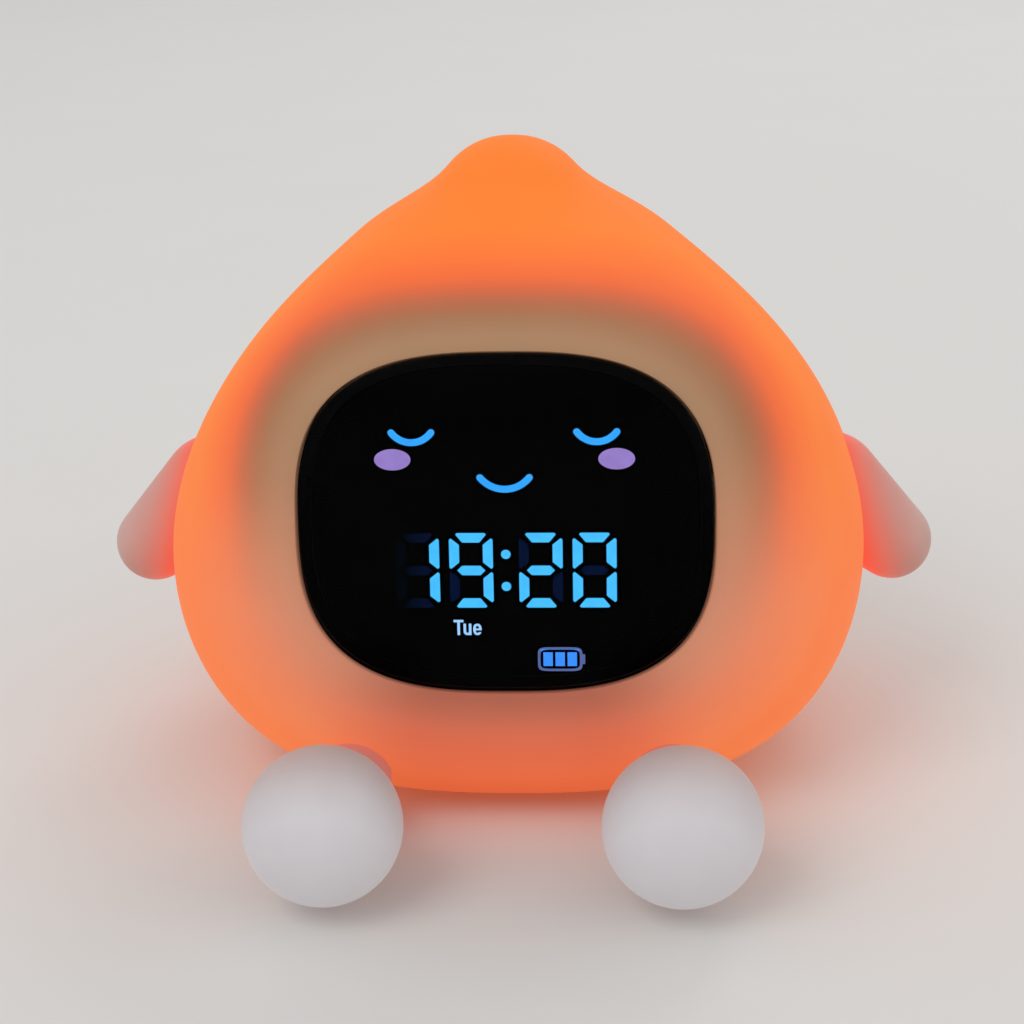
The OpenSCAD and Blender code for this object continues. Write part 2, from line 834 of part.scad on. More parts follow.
module letter_u() {
    r = 0.43;
    low = r + stroke / 2;
    translate([-r - stroke / 2, low]) square([stroke, small_h - low]);
    translate([r - stroke / 2, 0]) square([stroke, small_h]);
    translate([0, low])
        intersection() {
            difference() {
                circle(r = r + stroke / 2, $fn = 32);
                circle(r = r - stroke / 2, $fn = 32);
            }
            translate([-2, -2]) square([4, 2]);
        }
}

module letter_e() {
    w = 1.38;
    line = stroke * 0.75;
    translate([0, small_h / 2]) {
        difference() {
            polygon(squircle(w, small_h, 2.3, 40));
            polygon(squircle(w - 2 * stroke, small_h - 2 * stroke * 0.9, 2.3, 40));
            translate([0, -line / 2 - 0.3]) square([w, 0.3]);
        }
        translate([-w / 2 + stroke / 2, -line / 2]) square([w - stroke, line]);
    }
}

module battery_2d() {
    sign_w = 7.2;
    sign_h = 4.1;
    frame_w = 0.42;
    difference() {
        polygon(squircle(sign_w, sign_h, 6, 48));
        polygon(squircle(sign_w - 2 * frame_w, sign_h - 2 * frame_w, 6, 48));
    }
    translate([sign_w / 2 - frame_w / 2, -0.85]) square([0.65, 1.7]);
    for (i = [-1, 0, 1]) translate([i * 1.95 - 0.76, -1.18]) square([1.52, 2.36]);
}

module status_2d() {
    to_size() {
        translate([weekday[0], weekday[1] - capital_h / 2]) {
            translate([-1.4, 0]) letter_t();
            translate([0.02, 0]) letter_u();
            translate([1.62, 0]) letter_e();
        }
        translate(battery_sign) battery_2d();
    }
}

module symbols_2d() {
    digit_bars_2d(true);
    digit_bars_2d(false);
    face_2d();
    cheeks_2d();
    status_2d();
}

// ---- display module -----------------------------------------------------------------------------

module display_lens() {
    color([0.05, 0.05, 0.06])
        on_face()
            upright(-lens_proud, lens_back)
                polygon(squircle(display_w, display_h));
}

module lens_tape() {
    color([0.1, 0.1, 0.1])
        on_face()
            upright(lens_back, housing_front)
                difference() {
                    polygon(squircle(display_w - 0.2, display_h - 0.2));
                    polygon(squircle(cavity_w, cavity_h));
                }
}

module display_mask() {
    color([0.02, 0.02, 0.02])
        on_face()
            difference() {
                upright(mask_front, mask_front + mask_t) polygon(squircle(cavity_w - 0.4, cavity_h - 0.4));
                upright(mask_front - 1, mask_front + mask_t - film_t) symbols_2d();
            }
}

// A translucent window for each symbol, a hair shallower than its pocket in the mask.
module symbol_windows() {
    on_face() upright(mask_front + symbol_gap, mask_front + mask_t - film_t - symbol_gap) children();
}

module digit_bars_lit() {
    color([0.28, 0.69, 0.88]) symbol_windows() digit_bars_2d(true);
}

module digit_bars_unlit() {
    color([0.06, 0.09, 0.14]) symbol_windows() digit_bars_2d(false);
}

module face_symbols() {
    color([0.22, 0.56, 0.87]) symbol_windows() face_2d();
}

module cheek_symbols() {
    color([0.62, 0.5, 0.75]) symbol_windows() cheeks_2d();
}

module status_symbols() {
    color([0.4, 0.63, 0.82]) symbol_windows() status_2d();
}

well_wall = 0.9;

// Light wells of the reflector: one for each digit, for the colon, the face and the two small signs.
module wells_2d() {
    translate(digits_at) {
        for (x = digit_x)
            translate([x - digit_pitch / 2 + well_wall / 2, -digit_h / 2 - 0.6])
                square([digit_pitch - well_wall, digit_h + 1.2]);
        for (s = [-1, 1]) translate([0, s * colon_y]) circle(r = colon_r + 0.2, $fn = 24);
    }
    to_size() {
        for (s = [-1, 1]) {
            translate([s * eye[0] - 4.6, eye[1] - 1.9]) square([9.2, 4.4]);
            translate([s * cheek[0] - 3.6, cheek[1] - 2.1]) square([7.2, 3.6]);
        }
        translate([mouth[0] - 5.2, mouth[1] - 2]) square([10.4, 4.6]);
        translate([weekday[0] - 3.2, weekday[1] - 1.8]) square([6.8, 3.6]);
        translate([battery_sign[0] - 4, battery_sign[1] - 1.7]) square([8.2, 3.7]);
    }
}

module reflector_block() {
    color([0.95, 0.95, 0.95])
        on_face()
            upright(reflector_front, reflector_front + reflector_t)
                difference() {
                    polygon(squircle(cavity_w - 0.4, cavity_h - 0.4));
                    wells_2d();
                }
}

chip_t = 0.8;

module segment_leds() {
    places = concat(
        [for (x = digit_x, s = [-1, 0, 1]) digits_at + [x, s * digit_h / 3]],
        [for (s = [-1, 1], p = [eye, cheek]) [s * p[0], p[1]] * symbol_scale],
        [for (p = [mouth, weekday, battery_sign]) [p[0], p[1]] * symbol_scale]);
    color([0.95, 0.93, 0.75])
        on_face()
            upright(display_board_front - chip_t, display_board_front)
                for (p = places) translate(p) square([1.6, 0.8], center = true);
}

module display_board() {
    color([0.05, 0.3, 0.16])
        on_face()
            upright(display_board_front, display_board_back)
                polygon(squircle(cavity_w - 0.4, cavity_h - 0.4));
}

ribbon_w = 12;
ribbon_t = 0.4;
ribbon_level = -8;

module display_chips() {
    color([0.12, 0.12, 0.13])
        on_face() {
            block([-14, display_board_back, 2], [-4, display_board_back + 1.4, 10]);
            block([6, display_board_back, 4], [11, display_board_back + 1.2, 9]);
        }
    color([0.85, 0.82, 0.72])
        on_face()
            block([-ribbon_w / 2 - 1.5, display_board_back, ribbon_level - 1.6],
                  [ribbon_w / 2 + 1.5, display_board_back + 2, ribbon_level + 1.6]);
}

module display_housing() {
    color([0.9, 0.9, 0.88])
        on_face()
            difference() {
                union() {
                    upright(housing_front, housing_depth)
                        polygon(squircle(display_w - 0.2, display_h - 0.2));
                    both_sides()
                        for (level = ear_levels)
                            block([display_w / 2 - 2, ear_front, level - 3.5],
                                  [display_w / 2 + ear_out + ear_half, ear_front + ear_t, level + 3.5]);
                }
                difference() {
                    upright(housing_front - 1, floor_front)
                        polygon(squircle(cavity_w, cavity_h));
                    both_sides()
                        for (level = [-12, 12])
                            rod(cavity_w / 2 - 9, level, 2, display_board_back + 0.05, floor_front + 1);
                }
                both_sides()
                    for (level = ear_levels)
                        rod(display_w / 2 + ear_out, level, small_screw[2] + 0.15,
                            ear_front - 1, ear_front + ear_t + 1);
                block([-ribbon_w / 2 - 1, floor_front - 1, ribbon_level - 2],
                      [ribbon_w / 2 + 1, housing_depth + 1, ribbon_level + 2]);
            }
}

module display_screws() {
    color([0.6, 0.61, 0.63])
        on_face()
            both_sides()
                for (level = ear_levels)
                    translate([display_w / 2 + ear_out, ear_front + ear_t, level])
                        rotate([90, 0, 0])
                            screw(small_screw[0], small_screw[1], small_screw[2], ear_t + ear_screw_l - 0.4);
}

// Flat cable from the display board to the main board, drawn in the YZ plane.
ribbon_start = display_board_back + 2.1;
function face_point(depth, level) =
    [-face_y + depth * cos(display_lean) + level * sin(display_lean),
     display_z - depth * sin(display_lean) + level * cos(display_lean)];

module display_ribbon() {
    a = face_point(ribbon_start, ribbon_level);
    b = face_point(housing_depth + 2, ribbon_level);
    path = [a, b, [-face_y * 0.2, b.y - 3], [main_front * 0.45, ribbon_end_z + 2],
            [main_front - 2.1, ribbon_end_z]];
    color([0.8, 0.8, 0.78])
        translate([-ribbon_w / 2, 0, 0])
            rotate([90, 0, 90])
                linear_extrude(ribbon_w)
                    polygon(concat(
                        [for (p = path) [p.x, p.y + ribbon_t / 2]],
                        [for (i = [len(path) - 1:-1:0]) [path[i].x, path[i].y - ribbon_t / 2]]));
}

// ---- back panel and main board ------------------------------------------------------------------

connector_z = main_z - 11;
ribbon_end_z = main_z + 3;

module main_board() {
    color([0.05, 0.32, 0.18])
        difference() {
            translate([0, 0, main_z])
                upright(main_front, main_back)
                    polygon(squircle(main_w, main_h, 8, 48));
            for (p = board_posts)
                rod(p.x, panel_z + p.y, small_screw[2] + 0.15, main_front - 1, main_back + 1);
        }
}

// Block on the front of the main board, given by its middle, its size and its height.
module on_main(x, z, w, h, t) {
    block([x - w / 2, main_front - t, main_z + z - h / 2], [x + w / 2, main_front, main_z + z + h / 2]);
}

module board_chips() {
    side = main_w * 0.31;
    color([0.1, 0.1, 0.11]) {
        on_main(-side, -1.5, 7, 7, 1);
        on_main(side, -4, 5, 4, 1.4);
    }
    color([0.8, 0.8, 0.82]) on_main(side, main_h * 0.21, 6, 2, 1.8);
    color([0.9, 0.88, 0.78]) {
        for (x = [-lead_x, lead_x]) on_main(x, connector_z - main_z, 6, 4, plug_t);
        on_main(0, ribbon_end_z - main_z, ribbon_w + 3, 3.2, 2);
    }
}

module tap_sensor() {
    color([0.8, 0.68, 0.3])
        translate([-6, main_front - 1.7, main_z + 12])
            rotate([0, 90, 0]) cylinder(r = 1.6, h = 12);
}

button_x = [for (i = [-2:2]) i * button_pitch];

module tact_switches() {
    for (x = button_x) {
        color([0.15, 0.15, 0.16])
            block([x - 3, main_back, row_z - 3], [x + 3, main_back + switch_h, row_z + 3]);
        color([0.8, 0.8, 0.8]) rod(x, row_z, 1.7, main_back + switch_h, main_back + switch_h + stem_h);
    }
}

module slide_switch() {
    middle = slider_x + slider_travel / 2;
    color([0.75, 0.76, 0.78])
        difference() {
            block([middle - 5, main_back, low_z - 2.2], [middle + 5, main_back + switch_h, low_z + 2.2]);
            block([middle - 3.6, main_back + 1.4, low_z - 1.1],
                  [middle + 3.6, main_back + switch_h + 1, low_z + 1.1]);
        }
}

socket_w = 8.94;
socket_h = 3.26;
mouth_w = 8.34;
mouth_h = 2.56;
socket_end = panel_out - 0.3;

// Stadium outline centred on the socket's middle.
module stadium(w, h) {
    square([w - h, h], center = true);
    for (s = [-1, 1]) translate([s * (w - h) / 2, 0]) circle(d = h);
}

module usb_socket() {
    color([0.78, 0.79, 0.8])
        translate([socket_x, 0, low_z])
            difference() {
                upright(main_back, socket_end) stadium(socket_w, socket_h);
                upright(socket_end - 6.2, socket_end + 1) stadium(mouth_w, mouth_h);
            }
    color([0.12, 0.12, 0.13])
        translate([socket_x, 0, low_z])
            block([-3.3, socket_end - 6.4, -0.35], [3.3, socket_end - 0.6, 0.35]);
}

module board_screws() {
    color([0.6, 0.61, 0.63])
        for (p = board_posts)
            translate([p.x, main_front, panel_z + p.y])
                rotate([-90, 0, 0])
                    screw(small_screw[0], small_screw[1], small_screw[2], small_screw[3]);
}

speaker_front = panel_in - 0.2;

module speaker() {
    r = speaker_d / 2;
    color([0.16, 0.16, 0.17])
        translate([0, 0, speaker_z])
            difference() {
                rod(0, 0, r, speaker_front - 3, speaker_front);
                rod(0, 0, r - 1, speaker_front - 0.8, speaker_front + 1);
            }
    color([0.35, 0.35, 0.37]) rod(0, speaker_z, r - 3, speaker_front - 1.2, speaker_front - 0.5);
    color([0.75, 0.76, 0.78]) rod(0, speaker_z, r - 4.5, speaker_front - 4.2, speaker_front - 3);
}

module speaker_leads() {
    rim = speaker_z - speaker_d / 2;
    under = main_z - main_h / 2 - 1.6;
    for (side = [-1, 1])
        color(side < 0 ? [0.1, 0.1, 0.1] : [0.8, 0.1, 0.08])
            wire([[side * 1, speaker_front - 2, rim - 0.7],
                  [side * 1, speaker_front - 3.6, rim - 2.6],
                  [side * 1, main_back + 0.6, under],
                  [side * 1, main_front - 1.4, under],
                  [side * 1, main_front - 1.1, main_z - main_h / 2 + 2]], lead_d);
}

hole_ring = 3.1;
hole_r = 0.8;

module back_panel() {
    slot_low = slider_x - slider_w / 2 - seat;
    slot_high = slider_x + slider_travel + slider_w / 2 + seat;
    color([0.95, 0.93, 0.9])
        difference() {
            union() {
                translate([0, 0, panel_z]) upright(panel_in, panel_out) polygon(squircle(panel_w, panel_h));
                for (p = board_posts) rod(p.x, panel_z + p.y, board_post_r, main_back, panel_in + eps);
            }
            for (p = board_posts)
                rod(p.x, panel_z + p.y, small_screw[2] + pilot_gap,
                    main_back - 1, main_back + small_screw[3]);
            for (x = button_x) rod(x, row_z, button_d / 2 + run_fit, panel_in - 1, panel_out + 1);
            block([slot_low, panel_in - 1, low_z - slider_h / 2 - run_fit],
                  [slot_high, panel_out + 1, low_z + slider_h / 2 + run_fit]);
            translate([socket_x, 0, low_z])
                upright(panel_in - 1, panel_out + 1) stadium(socket_w + 2 * seat, socket_h + 2 * seat);
            for (ring_n = [0:2])
                for (k = [0:max(6 * ring_n, 1) - 1])
                    let (a = 360 * k / max(6 * ring_n, 1))
                    rod(ring_n * hole_ring * cos(a), speaker_z + ring_n * hole_ring * sin(a), hole_r,
                        panel_in - 1, panel_out + 1);
            both_sides() {
                rod(panel_screw_x, panel_z, small_screw[2] + 0.15, panel_in - 1, panel_out + 1);
                rod(panel_screw_x, panel_z, small_screw[0] + 0.2, panel_out - small_screw[1], panel_out + 1);
            }
        }
}

module back_panel_screws() {
    color([0.6, 0.61, 0.63])
        both_sides()
            translate([panel_screw_x, panel_out - small_screw[1], panel_z])
                rotate([90, 0, 0])
                    screw(small_screw[0], small_screw[1] * 0.9, small_screw[2], small_screw[3]);
}

// ---- buttons and slider -------------------------------------------------------------------------

flange_out = panel_in - flange_gap;
nose_end = main_back + switch_h + stem_h + button_travel + button_gap;

module button(n) {
    x = button_x[n];
    color([0.98, 0.97, 0.95]) {
        rod(x, row_z, button_d / 2, flange_out - eps, panel_out + button_proud);
        rod(x, row_z, button_flange_r, flange_out - button_flange_t, flange_out);
        rod(x, row_z, 1.5, nose_end, flange_out - button_flange_t + eps);
    }
}

module mode_button() { button(0); }
module set_button() { button(1); }
module alarm_button() { button(2); }
module up_button() { button(3); }
module down_button() { button(4); }

module power_slider() {
    plate_half = slider_w / 2 + 1.6;
    color([0.98, 0.97, 0.95]) {
        block([slider_x - slider_w / 2, flange_out - eps, low_z - slider_h / 2],
              [slider_x + slider_w / 2, panel_out + 0.9, low_z + slider_h / 2]);
        block([slider_x - plate_half, flange_out - 1, low_z - slider_h / 2 - 1],
              [slider_x + plate_half, flange_out, low_z + slider_h / 2 + 1]);
        block([slider_x - 1, main_back + 1.8, low_z - 0.8],
              [slider_x + 1, flange_out - 1 + eps, low_z + 0.8]);
    }
}

// ---- all pieces ---------------------------------------------------------------------------------

silicone_skin();
diffuser_dome();
left_arm();
right_arm();
left_foot();
right_foot();
foot_plates();
foot_screws();
base_pad();
bottom_cover();
base_tray();
base_screws();
battery_pad();
battery_cell();
battery_leads();
light_board();
rgb_leds();
light_board_screws();
light_leads();
display_lens();
lens_tape();
display_mask();
digit_bars_lit();
digit_bars_unlit();
face_symbols();
cheek_symbols();
status_symbols();
reflector_block();
segment_leds();
display_board();
display_chips();
display_housing();
display_screws();
display_ribbon();
main_board();
board_chips();
tap_sensor();
tact_switches();
slide_switch();
usb_socket();
board_screws();
speaker();
speaker_leads();
back_panel();
back_panel_screws();
mode_button();
set_button();
alarm_button();
up_button();
down_button();
power_slider();
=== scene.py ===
import math

import bpy
from bpy.props import FloatProperty, FloatVectorProperty, PointerProperty
from mathutils import Matrix, Vector


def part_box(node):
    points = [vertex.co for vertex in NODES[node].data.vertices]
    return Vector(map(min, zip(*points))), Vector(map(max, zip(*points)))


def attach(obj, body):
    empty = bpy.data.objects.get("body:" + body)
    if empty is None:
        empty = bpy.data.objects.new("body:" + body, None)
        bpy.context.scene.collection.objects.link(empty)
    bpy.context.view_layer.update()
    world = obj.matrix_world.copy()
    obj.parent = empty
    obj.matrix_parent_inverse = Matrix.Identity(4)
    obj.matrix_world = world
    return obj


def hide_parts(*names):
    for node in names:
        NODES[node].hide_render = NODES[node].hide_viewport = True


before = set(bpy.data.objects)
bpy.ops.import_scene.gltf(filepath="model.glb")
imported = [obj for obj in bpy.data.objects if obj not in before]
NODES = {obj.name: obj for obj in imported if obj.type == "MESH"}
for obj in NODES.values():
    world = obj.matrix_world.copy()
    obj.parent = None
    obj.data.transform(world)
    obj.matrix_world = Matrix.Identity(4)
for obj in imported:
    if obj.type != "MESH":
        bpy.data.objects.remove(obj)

bl_info = {
    "name": "Drop Night Light Clock",
    "version": (1, 0, 0),
    "blender": (4, 5, 0),
    "location": "View3D > Sidebar > Night Light",
    "description": "Dresses the frame of a silicone drop night light with an alarm clock display",
    "category": "Object",
}

MM = 0.001


# ---- sizes and colours -----------------------------------------------------------------------

def node_size(name, axis):
    """Size of a frame node along one axis, in metres."""
    low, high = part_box(name)
    return high[axis] - low[axis]


def linear(colour):
    """Linear RGB of an sRGB hex value such as "FF8C3C"."""
    channels = [int(colour[i:i + 2], 16) / 255 for i in (0, 2, 4)]
    return tuple(c / 12.92 if c <= 0.04045 else ((c + 0.055) / 1.055) ** 2.4 for c in channels)


def size_prop(name, description, default, low, high):
    return FloatProperty(name=name, description=description, default=default, min=low, max=high,
                         subtype="DISTANCE", unit="LENGTH", precision=4)


def colour_prop(name, description, colour):
    return FloatVectorProperty(name=name, description=description, default=linear(colour),
                               size=3, min=0, max=1, subtype="COLOR")


class ClockSizes(bpy.types.PropertyGroup):
    """Sizes that a user would change."""
    body_width: size_prop("Body width", "Width of the drop at its widest place",
                          node_size("silicone_skin", 0), 0.10, 0.14)
    body_height: size_prop("Body height", "Height of the tip above the table",
                           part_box("silicone_skin")[1][2], 0.10, 0.13)
    skin_wall: size_prop("Skin wall", "Thickness of the silicone skin", 2.4 * MM, 0.001, 0.004)
    lip_round: size_prop("Lip rounding", "Radius of the moulded lip around each opening",
                         0.8 * MM, 0.0002, 0.002)
    lens_round: size_prop("Lens edge", "Rounding of the polished lens edge", 0.35 * MM, 0.0001, 0.001)
    foot_diameter: size_prop("Foot diameter", "Diameter of the ball foot",
                             25 * MM, 0.02, 0.03)
    edge_round: size_prop("Moulded edges", "Rounding of the edges of the plastic mouldings",
                          0.25 * MM, 0.00005, 0.001)


class ClockColours(bpy.types.PropertyGroup):
    """Colours that a user would change."""
    glow: colour_prop("Glow", "Skin where the light shines through fully", "FF8638")
    glow_low: colour_prop("Glow below", "The same low on the body", "FF864E")
    glow_start: colour_prop("Start of the glow", "Skin where the light begins, above the display", "F07142")
    glow_start_low: colour_prop("Start of the glow below", "The same beside and below the display",
                                "F59069")
    shade: colour_prop("Shaded skin", "Skin in front of the display housing, above", "B08767")
    shade_low: colour_prop("Shaded skin below", "The same beside and below the display", "DF9475")
    belly: colour_prop("Belly tint", "Tint of the skin between the legs, where the light is weakest",
                       "F6D8DA")
    silicone: colour_prop("White silicone", "The ball feet", "CEC9CC")
    digits: colour_prop("Digits", "Lit bars of the time", "4CC6FA")
    face: colour_prop("Face", "Closed eyes and mouth", "38ACFC")
    cheeks: colour_prop("Cheeks", "The two oval cheeks", "9E82C2")
    weekday: colour_prop("Weekday", "The short name of the day", "A6D6FC")
    battery: colour_prop("Battery bars", "The three bars of the battery sign", "3F96FB")
    battery_frame: colour_prop("Battery frame", "The thin frame around the bars", "5A6898")
    plastic: colour_prop("Plastic", "Back panel and base", "E9E4DA")
    floor: colour_prop("Floor", "The plain floor", "D9D7D3")


def sizes():
    return bpy.context.scene.clock_sizes


def colours():
    return bpy.context.scene.clock_colours


# ---- shape of the drop, in millimetres --------------------------------------------------------

def span(node, axis):
    """Size of a frame node along one axis, to a micrometre."""
    return round(node_size(node, axis) / MM, 3)


def middle(node, axis):
    """Middle of a frame node along one axis, to a micrometre."""
    low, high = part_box(node)
    return round((low[axis] + high[axis]) / 2 / MM, 3)


# The display's lens leans back in the skin. The middle of the face is at -FACE_Y and FACE_Z.
FACE_Y = 40.5
FACE_Z = 54.0
FACE_LEAN = math.radians(5)
LENS_W = span("display_lens", 0)
LENS_H = 55.4
LENS_POWER = 2.83           # power of the superellipse that lens, panel and base are cut to
SEAT = 0.3                  # gap around a piece that sits in an opening

# The back panel stands upright. The drop is flat there, at BACK_Y.
BACK_Y = 42.5
PANEL_Z = middle("back_panel", 2)
PANEL_W = span("back_panel", 0)
PANEL_H = span("back_panel", 2)

# The drop's outline: base, widest place, neck and round tip.
BASE_Z = round(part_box("silicone_skin")[0][2] / MM, 3)
BASE_W = 64.0
BASE_D = 52.0
WIDEST_Z = 37.5
NECK_W = 55.2
NECK_DROP = 17.5            # from the neck up to the tip
NECK_SLOPE = math.radians(42)
TIP_R = 14.0
TIP_SLOPE = math.radians(50)
SIDE_PULL = 25.0            # pull of the side's curve upwards at the widest place
NECK_PULL = 15.7            # pull of the same curve at the neck
NECK_SHARE = 0.38           # pulls between neck and tip, as shares of the way
TIP_SHARE = 0.3

# The drop's depth, front and back, as a share of its half width. It changes with the height.
FRONT_MIDDLE = 0.9
FRONT_GAIN = 0.26           # more from the middle of the face to the lens's upper edge
FRONT_LOSS = 0.16           # less from there to the tip
BACK_MIDDLE = 0.88
BACK_GAIN = 0.12            # more from the neck to the tip
FULLNESS = 0.8              # power of sine and cosine around the drop, below 1 for fuller corners

# The ball foot and its leg. The lengths run along the leg from the middle of the ball.
FOOT_X = middle("right_foot", 0)
FOOT_Y = -66.5
FOOT_Z = middle("right_foot", 2)
LEG_R = 5.75
LEG_NECK_R = 3.8
LEG_SHOULDER = 27.5
LEG_NECK = 36.5
LEG_LENGTH = 39.5
LEG_SPLAY = math.radians(4)             # the legs run together towards the body,
LEG_FALL = math.atan2(5.1, 29.0)        # and fall by 5.1 mm on 29 mm of the way

# The flipper arm: a tapered bar between two round ends.
ARM_ROOT = Vector((54, 2, 45.5))
ARM_ROOT_R = 9.5
ARM_TIP = Vector((65.6, 2, 35.1))
ARM_TIP_R = 7.0
ARM_FLATNESS = 0.8          # thickness of the root as a share of its height

# The bars of the battery sign: their middle and their size together.
BARS_X = 8.4
BARS_Z = 31.3
BARS_W = 6.0
BARS_H = 2.9

# Push buttons.
CAP_R = 3.45
CAP_PROUD = 1.2             # what stands out of the panel
CAP_ROUND = 0.6
CAP_DISH = 0.28             # depth of the dished top
SHAFT_REACH = 2.4           # through the panel
FLANGE_T = 1.1
FLANGE_EDGE = 0.15
NOSE_R = 1.5
SIGN_SINK = 0.04            # a sign's top lies this far below the cap's edge
SIGN_BEVEL = 0.08
RING_IN = 0.62
RING_OUT = 1.15
# Strokes of the raised signs: length, width and turn in degrees. The alarm's sign is a ring.
STROKES = {
    "mode": [(2.0, 0.5, 0), (2.0, 0.5, 60), (2.0, 0.5, 120)],
    "set": [(1.5, 1.5, 45)],
    "alarm": [],
    "up": [(2.2, 0.55, 0), (2.2, 0.55, 90)],
    "down": [(2.2, 0.55, 0)],
}


def smooth(t):
    """0 up to 0, 1 from 1 on, with a soft start and end."""
    t = min(max(t, 0.0), 1.0)
    return t * t * (3 - 2 * t)


def signed_power(value, power):
    return math.copysign(abs(value) ** power, value)


def bezier(a, b, c, d, t):
    return a * (1 - t) ** 3 + 3 * b * t * (1 - t) ** 2 + 3 * c * t * t * (1 - t) + d * t ** 3


def arc(start, end, steps):
    """Angles from start to end in equal steps, both ends included."""
    return [start + (end - start) * i / steps for i in range(steps + 1)]


def drop_outline(count):
    """Evenly spaced points (half width, height) from the rim of the underside to the tip."""
    half = sizes().body_width / MM / 2
    tip_z = sizes().body_height / MM
    rim = BASE_W / 2
    widest = Vector((half, WIDEST_Z))
    neck = Vector((NECK_W / 2, tip_z - NECK_DROP))
    neck_dir = Vector((-math.cos(NECK_SLOPE), math.sin(NECK_SLOPE)))
    tip_dir = Vector((-math.cos(TIP_SLOPE), math.sin(TIP_SLOPE)))
    tip_start = Vector((TIP_R * math.sin(TIP_SLOPE), tip_z - TIP_R + TIP_R * math.cos(TIP_SLOPE)))
    reach = (tip_start - neck).length
    fine = 60
    shares = [i / fine for i in range(1, fine + 1)]
    line = [Vector((rim + (half - rim) * math.sin(a), WIDEST_Z - (WIDEST_Z - BASE_Z) * math.cos(a)))
            for a in arc(0, math.pi / 2, fine)]
    line += [bezier(widest, widest + Vector((0, SIDE_PULL)), neck - neck_dir * NECK_PULL, neck, t)
             for t in shares]
    line += [bezier(neck, neck + neck_dir * reach * NECK_SHARE,
                    tip_start - tip_dir * reach * TIP_SHARE, tip_start, t)
             for t in shares]
    line += [Vector((TIP_R * math.sin(a), tip_z - TIP_R + TIP_R * math.cos(a)))
             for a in arc(TIP_SLOPE, 0, fine)[1:]]
    lengths = [0.0]
    for a, b in zip(line, line[1:]):
        lengths.append(lengths[-1] + (b - a).length)
    points = []
    k = 0
    for i in range(count):
        want = lengths[-1] * i / (count - 1)
        while k < len(line) - 2 and lengths[k + 1] < want:
            k += 1
        share = (want - lengths[k]) / max(lengths[k + 1] - lengths[k], 1e-9)
        points.append(line[k].lerp(line[k + 1], min(share, 1.0)))
    return points


def soft_min(a, b):
    """The smaller of two depths, with a soft turn where they meet."""
    power = 20
    return a * b / (a ** power + b ** power) ** (1 / power) if a > 1e-6 else 0.0


def drop_point(width, z, angle):
    """Point of the drop's surface at a level, in millimetres. It is flat at the face and the back."""
    tip_z = sizes().body_height / MM
    neck_z = tip_z - NECK_DROP
    base = BASE_D / BASE_W
    lens_top = FACE_Z + LENS_H / 2
    front = (base + (FRONT_MIDDLE - base) * smooth((z - BASE_Z) / (FACE_Z - BASE_Z))
             + FRONT_GAIN * smooth((z - FACE_Z) / (lens_top - FACE_Z))
             - FRONT_LOSS * smooth((z - lens_top) / (tip_z - lens_top)))
    back = (base + (BACK_MIDDLE - base) * smooth((z - BASE_Z) / (PANEL_Z - BASE_Z) * 2)
            + BACK_GAIN * smooth((z - neck_z) / (tip_z - neck_z)))
    x = width * signed_power(math.cos(angle), FULLNESS)
    depth = abs(math.sin(angle)) ** FULLNESS * width
    if math.sin(angle) < 0:
        return Vector((x, -soft_min(front * depth, FACE_Y - (z - FACE_Z) * math.tan(FACE_LEAN)), z))
    return Vector((x, soft_min(back * depth, BACK_Y), z))


# Places to model at. Z points inwards at the face and the back, and along the leg at the foot.
# OVER turns Z outwards.
OVER = Matrix.Rotation(math.pi, 4, "X")
BACKWARDS = Matrix.Rotation(math.radians(-90), 4, "X")
FACE_FRAME = (Matrix.Translation(Vector((0, -FACE_Y, FACE_Z)) * MM)
              @ Matrix.Rotation(-FACE_LEAN, 4, "X") @ BACKWARDS)
BACK_FRAME = (Matrix.Translation(Vector((0, BACK_Y, PANEL_Z)) * MM)
              @ Matrix.Rotation(math.radians(90), 4, "X"))
LEG_FRAME = (Matrix.Translation(Vector((FOOT_X, FOOT_Y, FOOT_Z)) * MM)
             @ Matrix.Rotation(LEG_SPLAY, 4, "Z") @ Matrix.Rotation(-LEG_FALL - math.radians(90), 4, "X"))


# ---- modelling helpers ------------------------------------------------------------------------

def deselect():
    """Leaves edit mode and selects nothing."""
    if bpy.context.object and bpy.context.object.mode != "OBJECT":
        bpy.ops.object.mode_set(mode="OBJECT")
    bpy.ops.object.select_all(action="DESELECT")


def only(ob):
    """Selects this object and nothing else."""
    deselect()
    ob.select_set(True)
    bpy.context.view_layer.objects.active = ob


def edit_all(ob):
    """Edit mode with everything selected."""
    only(ob)
    bpy.ops.object.mode_set(mode="EDIT")
    bpy.ops.mesh.select_all(action="SELECT")


def apply_place(ob, place):
    """Moves a fresh piece to its place and leaves the place in its mesh."""
    only(ob)
    ob.matrix_world = place
    bpy.ops.object.transform_apply(location=True, rotation=True, scale=True)


def modify(ob, kind, apply=True, **settings):
    """Gives a piece a modifier, and applies it unless it is to stay live."""
    only(ob)
    modifier = ob.modifiers.new(kind.title(), kind)
    for key, value in settings.items():
        setattr(modifier, key, value)
    if apply:
        bpy.ops.object.modifier_apply(modifier=modifier.name)


def carve(ob, *cutters):
    """Takes the cutters out of a piece and deletes them."""
    for cutter in cutters:
        modify(ob, "BOOLEAN", operation="DIFFERENCE", object=cutter, solver="EXACT")
        bpy.data.objects.remove(cutter)


def shade(ob, degrees):
    """Smooth faces, with edges that turn more than this kept sharp."""
    only(ob)
    bpy.ops.object.shade_smooth_by_angle(angle=math.radians(degrees))


